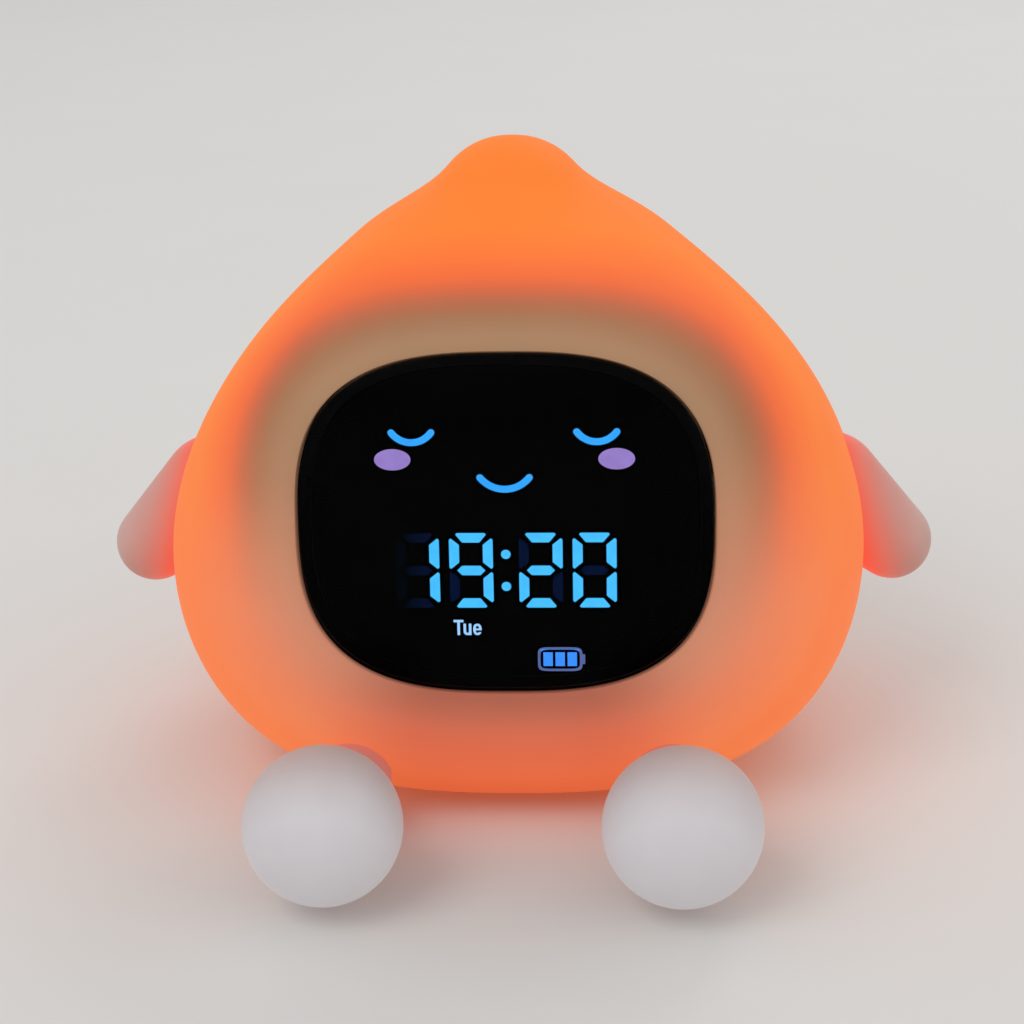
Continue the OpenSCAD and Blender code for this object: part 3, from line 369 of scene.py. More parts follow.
def squircle_block(name, width, height, levels, count=144):
    """A rounded window outline extruded up its own Z through levels (z, margin), in millimetres."""
    deselect()
    bpy.ops.mesh.primitive_circle_add(vertices=count, radius=1, fill_type="NGON")
    ob = bpy.context.object
    ob.name = name
    z, margin = levels[0]
    for vertex in ob.data.vertices:
        angle = math.atan2(vertex.co.y, vertex.co.x)
        vertex.co = Vector((
            (width / 2 + margin) * signed_power(math.cos(angle), 2 / LENS_POWER),
            (height / 2 + margin) * signed_power(math.sin(angle), 2 / LENS_POWER), z)) * MM
    edit_all(ob)
    for next_z, next_margin in levels[1:]:
        bpy.ops.mesh.extrude_region_move(TRANSFORM_OT_translate={"value": (0, 0, (next_z - z) * MM)})
        bpy.ops.transform.resize(
            value=((width / 2 + next_margin) / (width / 2 + margin),
                   (height / 2 + next_margin) / (height / 2 + margin), 1),
            center_override=(0, 0, next_z * MM))
        z, margin = next_z, next_margin
    bpy.ops.mesh.select_all(action="SELECT")
    bpy.ops.mesh.normals_make_consistent(inside=False)
    bpy.ops.object.mode_set(mode="OBJECT")
    return ob


def rounded_cut(outer, inner, radius):
    """Levels of a cutter whose upper end leaves a rounded lip at z = 0."""
    lip = [(-radius * (1 - math.sin(a)), radius * (1 - math.cos(a))) for a in arc(0, math.pi / 2, 6)]
    return [(inner, 0)] + lip + [(outer, radius)]


def lathe(name, profile, steps=96):
    """Spins points (radius, z) in millimetres about Z and closes the ends."""
    deselect()
    bpy.ops.mesh.primitive_plane_add(size=MM)
    ob = bpy.context.object
    ob.name = name
    edit_all(ob)
    bpy.ops.mesh.merge(type="CENTER")
    from_r, from_z = 0.0, 0.0
    for i, (r, z) in enumerate(profile):
        step = ((r - from_r) * MM, 0, (z - from_z) * MM)
        if i:
            bpy.ops.mesh.extrude_vertices_move(TRANSFORM_OT_translate={"value": step})
        else:
            bpy.ops.transform.translate(value=step)
        from_r, from_z = r, z
    bpy.ops.mesh.select_all(action="SELECT")
    bpy.ops.mesh.spin(steps=steps, angle=math.tau, center=(0, 0, 0), axis=(0, 0, 1))
    bpy.ops.mesh.select_all(action="SELECT")
    bpy.ops.mesh.remove_doubles(threshold=0.002 * MM)
    bpy.ops.mesh.normals_make_consistent(inside=False)
    bpy.ops.object.mode_set(mode="OBJECT")
    return ob


def mirrored(ob, name):
    """A copy of a piece on the other side of the body."""
    only(ob)
    bpy.ops.object.duplicate()
    other = bpy.context.object
    other.name = name
    other.matrix_world = Matrix.Scale(-1, 4, (1, 0, 0))
    bpy.ops.object.transform_apply(location=True, rotation=True, scale=True)
    edit_all(other)
    bpy.ops.mesh.normals_make_consistent(inside=False)
    bpy.ops.object.mode_set(mode="OBJECT")
    return other


def finish_piece(ob, node, material, body="case"):
    """Puts a finished piece in the place of a frame node and rides it on its body."""
    ob.data.materials.clear()
    ob.data.materials.append(material)
    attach(ob, body)
    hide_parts(node)


def refine(node, name, material, edge=None, body="case"):
    """Finishes a copy of a frame node with merged faces and softly rounded edges."""
    sharp = 40
    ob = bpy.data.objects.new(name, NODES[node].data.copy())
    bpy.context.scene.collection.objects.link(ob)
    edit_all(ob)
    bpy.ops.mesh.remove_doubles(threshold=0.004 * MM)
    bpy.ops.mesh.dissolve_limited(angle_limit=math.radians(0.5))
    bpy.ops.object.mode_set(mode="OBJECT")
    modify(ob, "BEVEL", width=sizes().edge_round if edge is None else edge, segments=2,
           limit_method="ANGLE", angle_limit=math.radians(sharp), use_clamp_overlap=True)
    shade(ob, sharp)
    modify(ob, "WEIGHTED_NORMAL", keep_sharp=True)
    finish_piece(ob, node, material, body)


def dress(node, material):
    """Gives a frame node its finish."""
    slots = NODES[node].data.materials
    slots.clear()
    slots.append(material)


# ---- materials ---------------------------------------------------------------------------------

class Graph:
    """The nodes of a material or a world, with one way to add a node."""

    def __init__(self, owner):
        owner.use_nodes = True
        self.owner = owner
        self.tree = owner.node_tree

    def put(self, socket, value):
        """Sets a socket, or links it to an output or to the first output of a node."""
        if isinstance(value, bpy.types.Node):
            value = next(output for output in value.outputs if output.enabled)
        if isinstance(value, bpy.types.NodeSocket):
            self.tree.links.new(value, socket)
        elif socket.type == "RGBA" and len(value) == 3:
            socket.default_value = (*value, 1)
        else:
            socket.default_value = value

    def add(self, kind, *inputs, **settings):
        """Adds a node with its settings. Its inputs come in order, and None leaves one alone."""
        node = self.tree.nodes.new("ShaderNode" + kind)
        for key, value in settings.items():
            setattr(node, key, value)
        live = [socket for socket in node.inputs if socket.enabled]
        for socket, value in zip(live, inputs):
            if value is not None:
                self.put(socket, value)
        return node

    def surface(self, **values):
        """Sets the shader's sockets by name, with underscores for spaces, and gives the material."""
        shader = self.tree.nodes["Principled BSDF"]
        for key, value in values.items():
            self.put(shader.inputs[key.replace("_", " ")], value)
        return self.owner


# Settings of the nodes that most materials use. The patterns' sizes are given in millimetres in
# each material. Those below about 0.5 mm are coarser than real, so that they show in a render.
SOFT = {"interpolation_type": "SMOOTHSTEP"}
COLOUR = {"data_type": "RGBA"}
TINT = {"data_type": "RGBA", "blend_type": "MULTIPLY"}
OVERLAY = {"data_type": "RGBA", "blend_type": "OVERLAY"}
BLACK = (0, 0, 0)
SILICONE_IOR = 1.41


def new_material(name):
    """A new material's nodes, and its object coordinates in millimetres."""
    g = Graph(bpy.data.materials.new(name))
    metres = g.add("TexCoord").outputs["Object"]
    return g, g.add("VectorMath", metres, (1 / MM, 1 / MM, 1 / MM), operation="MULTIPLY")


def colour_of(name):
    return tuple(getattr(colours(), name))


def window_distance(g, where, centre, half_sizes):
    """How far a point lies from the centre of a rounded window, 1 on its outline."""
    power = 2.6
    offset = g.add("VectorMath", where, centre, operation="SUBTRACT")
    share = g.add("VectorMath", offset, half_sizes, operation="DIVIDE")
    total = 0.0
    for part in g.add("SeparateXYZ", g.add("VectorMath", share, operation="ABSOLUTE")).outputs:
        total = g.add("Math", g.add("Math", part, power, operation="POWER"), total, operation="ADD")
    return g.add("Math", total, 1 / power, operation="POWER")


def colour_stops(g, value, stops):
    """Colours along a value, from pairs of a value and the colour there."""
    first, last = stops[0][0], stops[-1][0]
    node = g.add("ValToRGB", g.add("MapRange", value, first, last))
    ramp = node.color_ramp
    ramp.interpolation = "CARDINAL"
    while len(ramp.elements) < len(stops):
        ramp.elements.new(0.5)
    for element, (at, colour) in zip(ramp.elements, stops):
        element.position = (at - first) / (last - first)
        element.color = (*colour, 1)
    return node


def lit_silicone():
    """Platinum silicone, cast in a matt mould and lit from inside. The eye gets a soft, even glow
    that fades to bare skin where the display housing and the back panel throw their shadows."""
    face_shadow = 34.0                      # how far the two shadows reach into the drop
    panel_shadow = face_shadow * 0.7
    panel_margin = 1.08                     # the back panel's shadow is this much narrower
    tone_top, tone_bottom = 74.0, 34.0      # heights between which the skin changes its tone
    belly_top, belly_full = 36.0, 24.0      # heights where the belly's tint starts and is full
    belly_side, belly_middle = 34.0, 12.0   # and the same across
    # How dark the painted shade below the lens gets.
    lens_shade_strength = 0.22
    rim_top, rim_bottom = 11.0, 1.0
    rim_share = 0.3
    least_light, more_light = 0.16, 0.56    # share of the colour that shines: least, and more outside
    cloud, swell, fine = 14.0, 2.2, 0.35    # uneven milkiness, waves and grain of the mould
    g, where = new_material("lit_silicone")
    x, _, z = g.add("SeparateXYZ", where).outputs
    to_face = window_distance(g, where, (0, -FACE_Y, FACE_Z), (LENS_W / 2, face_shadow, LENS_H / 2))
    to_panel = window_distance(g, where, (0, BACK_Y, PANEL_Z), (PANEL_W / 2, panel_shadow, PANEL_H / 2))
    past_panel = g.add("Math", to_panel, panel_margin, operation="MULTIPLY")
    d = g.add("Math", to_face, past_panel, operation="MINIMUM")
    # High on the body the shadow is dark with a short edge, low on it faint with a long one.
    above = colour_stops(g, d, (
        (1.0, colour_of("shade")), (1.1, colour_of("shade")), (1.21, linear("AE7756")),
        (1.29, linear("CC6E4C")), (1.36, colour_of("glow_start")), (1.45, linear("FE7A3D")),
        (1.62, colour_of("glow"))))
    dim = tuple(c * 0.94 for c in colour_of("shade_low"))
    below = colour_stops(g, d, (
        (1.0, dim), (1.08, colour_of("shade_low")), (1.3, colour_of("glow_start_low")),
        (1.7, colour_of("glow_low"))))
    skin = g.add("Mix", g.add("MapRange", z, tone_top, tone_bottom, **SOFT), above, below, **COLOUR)
    # Between the legs the light is weakest; close below the lens there is painted shade too.
    aside = g.add("Math", x, operation="ABSOLUTE")
    between_legs = g.add("MapRange", aside, belly_side, belly_middle, **SOFT)
    low = g.add("MapRange", z, belly_top, belly_full, **SOFT)
    belly = g.add("Math", low, between_legs, operation="MULTIPLY")
    skin = g.add("Mix", belly, skin, colour_of("belly"), **TINT)
    # Painted shade along the lens's lower edge, between the legs.
    shade_below_lens = g.add("Math", belly, g.add("MapRange", d, 1.3, 1.0, **SOFT), operation="MULTIPLY")
    darker = g.add("Math", shade_below_lens, lens_shade_strength, operation="MULTIPLY")
    skin = g.add("Mix", darker, skin, BLACK, **COLOUR)
    # The thick rim at the base lets only red light through.
    at_rim = g.add("MapRange", z, rim_top, rim_bottom, **SOFT)
    rim = g.add("Math", at_rim, rim_share, operation="MULTIPLY")
    skin = g.add("Mix", rim, skin, linear("C85434"), **COLOUR)
    skin = g.add("Mix", 0.06, skin, g.add("TexNoise", where, 1 / cloud, 2.0), **OVERLAY)
    # Part of the colour is light of its own, less of it in the shadows.
    outside = g.add("MapRange", d, 1.1, 1.6, **SOFT)
    lit = g.add("Math", outside, more_light, least_light, operation="MULTIPLY_ADD")
    light = g.add("Mix", lit, BLACK, skin, **COLOUR)
    body = g.add("Mix", g.add("Math", 1.0, lit, operation="SUBTRACT"), BLACK, skin, **COLOUR)
    fine_grain = g.add("TexNoise", where, 1 / fine, 2.0)
    waves = g.add("TexNoise", where, 1 / swell, 2.0)
    grain = g.add("Math", fine_grain, 0.6, waves, operation="MULTIPLY_ADD")
    return g.surface(Base_Color=body, Emission_Color=light, Emission_Strength=1.0, Roughness=0.6,
                     Specular_IOR_Level=0.08, IOR=SILICONE_IOR,
                     Normal=g.add("Bump", 0.5, 0.02 * MM, None, grain))


def limb_silicone(name, axis, stops, level, tilt, shine_end, least_shine=0.0):
    """White platinum silicone, cast in a matt mould. It carries light in from the body as a painted glow,
    so it is coloured at its root and white at its end. The stops give its colour along one axis, tilted
    around a level, and the glow in it falls off until shine_end. Never less than least_shine of it glows:
    painted light that lightens its shaded sides."""
    cloud, swell, fine = 6.0, 2.0, 0.35
    g, where = new_material(name)
    x, y, z = g.add("SeparateXYZ", where).outputs
    if axis == "x":
        outwards = g.add("Math", x, operation="ABSOLUTE")
    else:
        outwards = g.add("Math", y, -1.0, operation="MULTIPLY")
    above = g.add("Math", z, level, operation="SUBTRACT")
    along = g.add("Math", above, tilt, outwards, operation="MULTIPLY_ADD")
    tone = colour_stops(g, along, stops)
    near = g.add("MapRange", along, shine_end, stops[0][0], **SOFT)
    # Painted glow: the share of the colour that shines, never below least_shine.
    shine = g.add("Math", g.add("Math", near, 0.7, operation="MULTIPLY"), least_shine, operation="MAXIMUM")
    tone = g.add("Mix", 0.05, tone, g.add("TexNoise", where, 1 / cloud, 3.0), **OVERLAY)
    fine_grain = g.add("TexNoise", where, 1 / fine, 2.0)
    grain = g.add("Math", fine_grain, g.add("TexNoise", where, 1 / swell, 3.0), operation="ADD")
    return g.surface(Base_Color=g.add("Mix", shine, tone, BLACK, **COLOUR),
                     Emission_Color=g.add("Mix", shine, BLACK, tone, **COLOUR), Emission_Strength=1.0,
                     Roughness=0.5, Specular_IOR_Level=0.3, IOR=SILICONE_IOR, Sheen_Weight=0.12,
                     Sheen_Roughness=0.35, Normal=g.add("Bump", 0.45, 0.02 * MM, None, grain))


LENS_PASS = 0.11            # share of the light that the smoked lens lets through


def smoked_acrylic():
    """Cast acrylic, polished and tinted almost black, so that only lit symbols show through it. Its
    low index stands for an antiglare coat: the face stays deep black under soft light."""
    swell = 9.0                 # faint waves left by the polishing
    g, where = new_material("smoked_acrylic")
    waves = g.add("TexNoise", where, 1 / swell, 1.0)
    return g.surface(Base_Color=linear("595B61"), Transmission_Weight=1.0, Roughness=0.02, IOR=1.09,
                     Normal=g.add("Bump", 0.3, 0.004 * MM, None, waves))


def light_window(name, colour, right_colour=None, frame_colour=None, seam=(-0.5, 0.5)):
    """A printed polycarbonate window with a chip behind it, lit a little unevenly. Right of a seam
    it may have a colour of its own, and another one around the battery bars."""
    spot = 1.6                  # size of the brighter and darker spots
    most_dim = 0.2
    g, where = new_material(name)
    x = g.add("SeparateXYZ", where).outputs["X"]
    right = g.add("MapRange", x, *seam, **SOFT)
    tone = g.add("Mix", right, colour, right_colour or colour, **COLOUR)
    if frame_colour:
        offset = g.add("VectorMath", where, (BARS_X, 0, BARS_Z), operation="SUBTRACT")
        share = g.add("VectorMath", offset, (BARS_W / 2, 1, BARS_H / 2), operation="DIVIDE")
        beside, _, above = g.add("SeparateXYZ", g.add("VectorMath", share, operation="ABSOLUTE")).outputs
        past_bars = g.add("MapRange", g.add("Math", beside, above, operation="MAXIMUM"), 1.0, 1.05, **SOFT)
        framed = g.add("Math", past_bars, right, operation="MULTIPLY")
        tone = g.add("Mix", framed, tone, frame_colour, **COLOUR)
    uneven = g.add("Math", g.add("TexNoise", where, 1 / spot, 1.0), most_dim, operation="MULTIPLY")
    return g.surface(Base_Color=tuple(c * 0.1 for c in colour),
                     Emission_Color=g.add("Mix", uneven, tone, BLACK, **COLOUR),
                     Emission_Strength=1.1 / LENS_PASS, Roughness=0.4)


def moulded_plastic(name, colour, grain_mm=0.5, depth_mm=0.015, roughness=0.5, printed=None):
    """Injection moulded plastic with a fine spark texture, ABS unless its name says otherwise: satin,
    and a little uneven in colour. What is printed on it is a function that gives the share of ink."""
    cloud, patch = 9.0, 4.0
    wear = 0.12                 # how much the roughness differs between patches
    g, where = new_material(name)
    base = g.add("Mix", 0.04, colour, g.add("TexNoise", where, 1 / cloud, 3.0), **OVERLAY)
    if printed:
        base = g.add("Mix", printed(g, where), base, linear("7F8184"), **COLOUR)
    spark = g.add("TexNoise", where, 1 / grain_mm, 2.0, 0.6)
    patches = g.add("TexNoise", where, 1 / patch, 3.0)
    return g.surface(Base_Color=base, IOR=1.53,
                     Roughness=g.add("Math", patches, wear, roughness - wear / 2, operation="MULTIPLY_ADD"),
                     Normal=g.add("Bump", 0.6, depth_mm * MM, None, spark))


def ink_on_signs(g, where):
    """The share of ink, 1 on top of the raised signs of the five buttons."""
    pitch = abs(middle("up_button", 0) - middle("alarm_button", 0))
    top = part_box("alarm_button")[1][1] / MM - SIGN_SINK
    ink_starts, ink_full = top - 0.07, top - 0.04
    x, y, z = g.add("SeparateXYZ", where).outputs
    beside = g.add("Math", x, pitch / 2, operation="PINGPONG")
    offset = g.add("Math", z, middle("alarm_button", 2), operation="SUBTRACT")
    above = g.add("Math", offset, operation="ABSOLUTE")
    furthest = g.add("Math", beside, above, operation="MAXIMUM")
    near = g.add("Math", furthest, RING_OUT + 0.1, operation="LESS_THAN")
    high = g.add("MapRange", y, ink_starts, ink_full, **SOFT)
    return g.add("Math", near, high, operation="MULTIPLY")


def zinc_steel():
    """Turned and zinc plated steel: satin grey with a fine grain."""
    spangle, groove = 1.2, 0.6
    g, where = new_material("zinc_steel")
    base = g.add("Mix", 0.25, linear("B4B6B8"), g.add("TexNoise", where, 1 / spangle, 4.0), **OVERLAY)
    turning = g.add("TexNoise", where, 1 / groove, 3.0)
    return g.surface(Base_Color=base, Metallic=1.0,
                     Roughness=g.add("Math", turning, 0.2, 0.25, operation="MULTIPLY_ADD"))


def solder_mask(name, colour):
    """Glossy lacquer over copper on a glass fibre board, its tracks just showing."""
    track_pitch = 3.0
    g, where = new_material(name)
    tracks = g.add("TexVoronoi", where, 1 / track_pitch, distance="CHEBYCHEV", feature="F2")
    covered = g.add("MapRange", tracks, 0.45, 0.5, **SOFT)
    base = g.add("Mix", covered, colour, tuple(c * 0.6 for c in colour), **COLOUR)
    return g.surface(Base_Color=base, Roughness=0.28, IOR=1.55)


def foil_pouch():
    """Laminated aluminium foil, folded and sealed: satin and slightly crinkled."""
    crinkle, cloud = 5.0, 3.0
    g, where = new_material("foil_pouch")
    crinkles = g.add("TexNoise", where, 1 / crinkle, 4.0)
    base = g.add("Mix", 0.1, linear("C4C6C8"), g.add("TexNoise", where, 1 / cloud, 3.0), **OVERLAY)
    return g.surface(Base_Color=base, Metallic=0.9, Roughness=0.38,
                     Normal=g.add("Bump", 0.6, 0.15 * MM, None, crinkles))


# ---- pieces --------------------------------------------------------------------------------------

def drop_shell(name, segments=160, rings=120):
    """The drop as a closed form, shaped from a sphere. Its last rows lie flat under the base."""
    deselect()
    bpy.ops.mesh.primitive_uv_sphere_add(segments=segments, ring_count=rings, radius=1)
    ob = bpy.context.object
    ob.name = name
    flat_rows = 8
    outline = drop_outline(rings - flat_rows + 1)
    for vertex in ob.data.vertices:
        angle = math.atan2(vertex.co.y, vertex.co.x)
        row = round(math.acos(max(-1.0, min(1.0, vertex.co.z))) / math.pi * rings)
        if row <= rings - flat_rows:
            width, z = outline[rings - flat_rows - row]
            point = drop_point(max(width, 0.0), z, angle)
        else:
            point = drop_point(outline[0].x, BASE_Z, angle) * ((rings - row) / flat_rows)
            point.z = BASE_Z
        vertex.co = point * MM
    return ob


def leg_profile(gap):
    """The leg's outline from the foot inwards: full width, narrowing shoulder and neck."""
    return [(LEG_R + gap, 0), (LEG_R + gap, LEG_SHOULDER), (LEG_NECK_R + gap, LEG_NECK),
            (LEG_NECK_R + gap, LEG_LENGTH)]


class CLOCK_OT_camera(bpy.types.Operator):
    """Add the camera that looks at the face from slightly above"""
    bl_idname = "clock.camera"
    bl_label = "Camera"

    def execute(self, context):
        azimuth = math.radians(3.449)
        elevation = math.radians(20.636)
        roll = math.radians(-1.434)
        distance = 0.4129
        focal_px = 2338.1
        frame_px = 1024
        sensor_mm = 36
        target = Vector((-1.261, 0.011, 41.135)) * MM
        back = Vector((math.sin(azimuth) * math.cos(elevation),
                       -math.cos(azimuth) * math.cos(elevation), math.sin(elevation)))
        right = Vector((math.cos(azimuth), math.sin(azimuth), 0))
        up = back.cross(right)
        tilted_right = right * math.cos(roll) + up * math.sin(roll)
        tilted_up = up * math.cos(roll) - right * math.sin(roll)
        place = Matrix((tilted_right, tilted_up, back)).transposed().to_4x4()
        place.translation = target + back * distance
        bpy.ops.object.camera_add()
        camera = context.object
        camera.name = "camera"
        camera.matrix_world = place
        camera.data.sensor_width = sensor_mm
        camera.data.lens = focal_px / frame_px * sensor_mm
        camera.data.clip_start = 0.01
        camera.data.clip_end = 20
        context.scene.camera = camera
        return {"FINISHED"}


class CLOCK_OT_skin(bpy.types.Operator):
    """Model the moulded silicone skin with its rounded lips"""
    bl_idname = "clock.skin"
    bl_label = "Silicone skin"

    def execute(self, context):
        lip = sizes().lip_round / MM
        outside = 12
        face_depth = 24
        back_depth = 14
        base_ledge = 3
        base_levels = [(-3, 0), (7.7, 0)]
        skin = drop_shell("silicone_drop")
        modify(skin, "SOLIDIFY", thickness=sizes().skin_wall, offset=-1, use_even_offset=True)
        face = squircle_block("face_cut", LENS_W + 2 * SEAT, LENS_H + 2 * SEAT,
                              rounded_cut(outside, -face_depth, lip))
        apply_place(face, FACE_FRAME @ OVER)
        back = squircle_block("back_cut", PANEL_W + 2 * SEAT, PANEL_H + 2 * SEAT,
                              rounded_cut(outside, -back_depth, lip))
        apply_place(back, BACK_FRAME @ OVER)
        base = squircle_block("base_cut", BASE_W - 2 * base_ledge, BASE_D - 2 * base_ledge, base_levels)
        right_leg = lathe("leg_cut", [(0, 0)] + leg_profile(SEAT) + [(0, LEG_LENGTH)], 64)
        apply_place(right_leg, LEG_FRAME)
        left_leg = mirrored(right_leg, "left_leg_cut")
        carve(skin, face, back, base, right_leg, left_leg)
        shade(skin, 40)
        modify(skin, "WEIGHTED_NORMAL", apply=False, keep_sharp=True)
        finish_piece(skin, "silicone_skin", lit_silicone())
        return {"FINISHED"}


class CLOCK_OT_arms(bpy.types.Operator):
    """Model the two tapered flipper arms"""
    bl_idname = "clock.arms"
    bl_label = "Arms"

    def execute(self, context):
        deselect()
        bpy.ops.mesh.primitive_uv_sphere_add(segments=80, ring_count=64, radius=1)
        arm = context.object
        arm.name = "flipper_right"
        axis = ARM_TIP - ARM_ROOT
        turn = axis.to_track_quat("Z", "Y")
        tangent = (ARM_ROOT_R - ARM_TIP_R) / axis.length
        for vertex in arm.data.vertices:
            at_tip = vertex.co.z > tangent
            out = turn @ vertex.co
            if at_tip:
                vertex.co = (ARM_TIP + out * ARM_TIP_R) * MM
            else:
                vertex.co = (ARM_ROOT + Vector((out.x, out.y * ARM_FLATNESS, out.z)) * ARM_ROOT_R) * MM
        modify(arm, "REMESH", mode="VOXEL", voxel_size=0.35 * MM)
        modify(arm, "SMOOTH", factor=0.5, iterations=14)
        carve(arm, drop_shell("drop_cutter", 128, 96))
        shade(arm, 50)
        other = mirrored(arm, "flipper_left")
        shade(other, 50)
        # Red with painted glow where it leaves the body, pale and bare at its tip.
        stops = (
            (57.0, linear("FF5E46")), (60.0, linear("EC7866")), (63.0, linear("D88E82")),
            (66.5, linear("CF9D93")), (70.0, linear("CCA69C")))
        material = limb_silicone("arm_silicone", "x", stops, level=48.0, tilt=0.25, shine_end=66.0)
        finish_piece(arm, "right_arm", material)
        finish_piece(other, "left_arm", material)
        return {"FINISHED"}


class CLOCK_OT_feet(bpy.types.Operator):
    """Model the ball feet with the legs that carry them"""
    bl_idname = "clock.feet"
    bl_label = "Feet"

    def execute(self, context):
        ball = sizes().foot_diameter / MM / 2
        hollow = 2.2                # radius of the hollow between ball and leg
        snug = SEAT - 0.03          # the leg fills its opening but for this
        ankle = LEG_R + snug
        meet = math.asin((ankle + hollow) / (ball + hollow))
        centre_z = (ball + hollow) * math.cos(meet)
        profile = [(ball * math.sin(a), ball * math.cos(a)) for a in arc(math.pi, meet, 60)]
        profile += [(ankle + hollow - hollow * math.sin(a), centre_z - hollow * math.cos(a))
                    for a in arc(meet, math.pi / 2, 10)[1:]]
        profile += leg_profile(snug)[1:] + [(0, LEG_LENGTH)]
        foot = lathe("ball_foot_right", profile)
        apply_place(foot, LEG_FRAME)
        shade(foot, 40)
        other = mirrored(foot, "ball_foot_left")
        shade(other, 40)
        # Red leg with painted glow from the body, then a ball that turns white away from the body. The
        # greyer
        # # stops between are painted shade under the body, and the tilt puts more of it on the ball's top.
        stops = (
            (36.0, linear("E8705C")), (42.0, linear("D0786C")), (48.0, linear("C4887E")),
            (56.0, linear("BC9E98")), (64.0, linear("C0B2B1")), (73.0, colour_of("silicone")))
        # least_shine lays painted light over the whole foot, which lightens its shaded underside.
        material = limb_silicone("foot_silicone", "y", stops, level=14.5, tilt=-0.6, shine_end=48.0,
                                 least_shine=0.35)
        finish_piece(foot, "right_foot", material)
        finish_piece(other, "left_foot", material)
        return {"FINISHED"}


class CLOCK_OT_display(bpy.types.Operator):
    """Model the polished lens and light the symbols behind it"""
    bl_idname = "clock.display"
    bl_label = "Display"

    def execute(self, context):
        edge = sizes().lens_round / MM
        proud = 0.3
        thick = 2.0
        levels = [(proud - thick, 0), (proud - edge, 0)]
        levels += [(proud - edge * (1 - math.sin(a)), -edge * (1 - math.cos(a)))
                   for a in arc(0, math.pi / 2, 5)[1:]]
        lens = squircle_block("smoked_lens", LENS_W, LENS_H, levels, 192)
        apply_place(lens, FACE_FRAME @ OVER)
        shade(lens, 25)
        finish_piece(lens, "display_lens", smoked_acrylic())
        # The unlit bars show a faint blue, and hardly any in the first digit.
        symbols = {
            "digit_bars_lit": light_window("digit_window", colour_of("digits")),
            "digit_bars_unlit": light_window("dark_window", linear("010408"), linear("04112C"),
                                             seam=(-17.5, -11.0)),
            "face_symbols": light_window("face_window", colour_of("face")),
            "cheek_symbols": light_window("cheek_window", colour_of("cheeks")),
            "status_symbols": light_window("status_window", colour_of("weekday"), colour_of("battery"),
                                           colour_of("battery_frame")),
        }
        for node, material in symbols.items():
            dress(node, material)
        return {"FINISHED"}


FINE_EDGE = 0.08 * MM       # rounding of metal edges
SOFT_EDGE = 0.2 * MM        # rounding of what a finger touches


class CLOCK_OT_back(bpy.types.Operator):
    """Model the back panel with its buttons, slider and socket"""
    bl_idname = "clock.back"
    bl_label = "Back panel"

    def execute(self, context):
        plastic = moulded_plastic("panel_abs", colour_of("plastic"))
        cap = moulded_plastic("button_abs", linear("F4F1EB"), grain_mm=0.3, depth_mm=0.008, roughness=0.36,
                              printed=ink_on_signs)
        metal = zinc_steel()
        refine("back_panel", "panel_moulding", plastic)
        refine("back_panel_screws", "panel_screws", metal, FINE_EDGE)
        refine("usb_socket", "charging_socket", metal, FINE_EDGE)
        refine("power_slider", "slider_knob", cap, SOFT_EDGE, "power_slider")
        for name in STROKES:
            node = name + "_button"
            finish_piece(button_cap(name, *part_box(node)), node, cap, node)
        return {"FINISHED"}


def button_cap(name, low, high):
    """A push button turned about its own axis: nose, flange, shaft, dished cap and a raised sign."""
    top = (high[1] - low[1]) / MM
    flange_r = (high[0] - low[0]) / MM / 2
    flange_z = top - CAP_PROUD - SHAFT_REACH - FLANGE_T
    flange_top = flange_z + FLANGE_T
    profile = [(0, 0), (NOSE_R, 0), (NOSE_R, flange_z), (flange_r - FLANGE_EDGE, flange_z),
               (flange_r, flange_z + FLANGE_EDGE), (flange_r, flange_top - FLANGE_EDGE),
               (flange_r - FLANGE_EDGE, flange_top), (CAP_R, flange_top), (CAP_R, top - CAP_ROUND)]
    profile += [(CAP_R - CAP_ROUND * (1 - math.cos(a)), top - CAP_ROUND * (1 - math.sin(a)))
                for a in arc(0, math.pi / 2, 6)[1:]]
    profile += [((CAP_R - CAP_ROUND) * (1 - t), top - CAP_DISH * smooth(t * 1.2))
                for t in (0.1, 0.25, 0.4, 0.6, 0.8, 1.0)]
    cap = lathe("cap_" + name, profile, 64)
    sign_low = top - CAP_DISH - 0.1
    sign_top = top - SIGN_SINK
    signs = [raised_bar(length, width, math.radians(turn), sign_low, sign_top)
             for length, width, turn in STROKES[name]]
    for sign in signs or [raised_ring(sign_low, sign_top)]:
        modify(cap, "BOOLEAN", operation="UNION", object=sign, solver="EXACT")
        bpy.data.objects.remove(sign)
    place = Vector(((low[0] + high[0]) / 2, low[1], (low[2] + high[2]) / 2))
    apply_place(cap, Matrix.Translation(place) @ BACKWARDS)
    shade(cap, 30)
    return cap


def raised_bar(length, width, turn, low, high):
    """A small raised stroke with bevelled edges."""
    deselect()
    bpy.ops.mesh.primitive_cube_add(size=1, location=(0, 0, (low + high) / 2 * MM),
                                    scale=(length * MM, width * MM, (high - low) * MM),
                                    rotation=(0, 0, turn))
    bar = bpy.context.object
    bpy.ops.object.transform_apply(location=True, rotation=True, scale=True)
    modify(bar, "BEVEL", width=SIGN_BEVEL * MM, segments=2)
    return bar


def raised_ring(low, high):
    """A small raised ring with bevelled upper edges."""
    flat = 0.1
    shoulder = high - SIGN_BEVEL
    return lathe("sign", [(RING_IN, low), (RING_OUT, low), (RING_OUT, shoulder), (RING_OUT - flat, high),
                          (RING_IN + flat, high), (RING_IN, shoulder), (RING_IN, low)], 40)


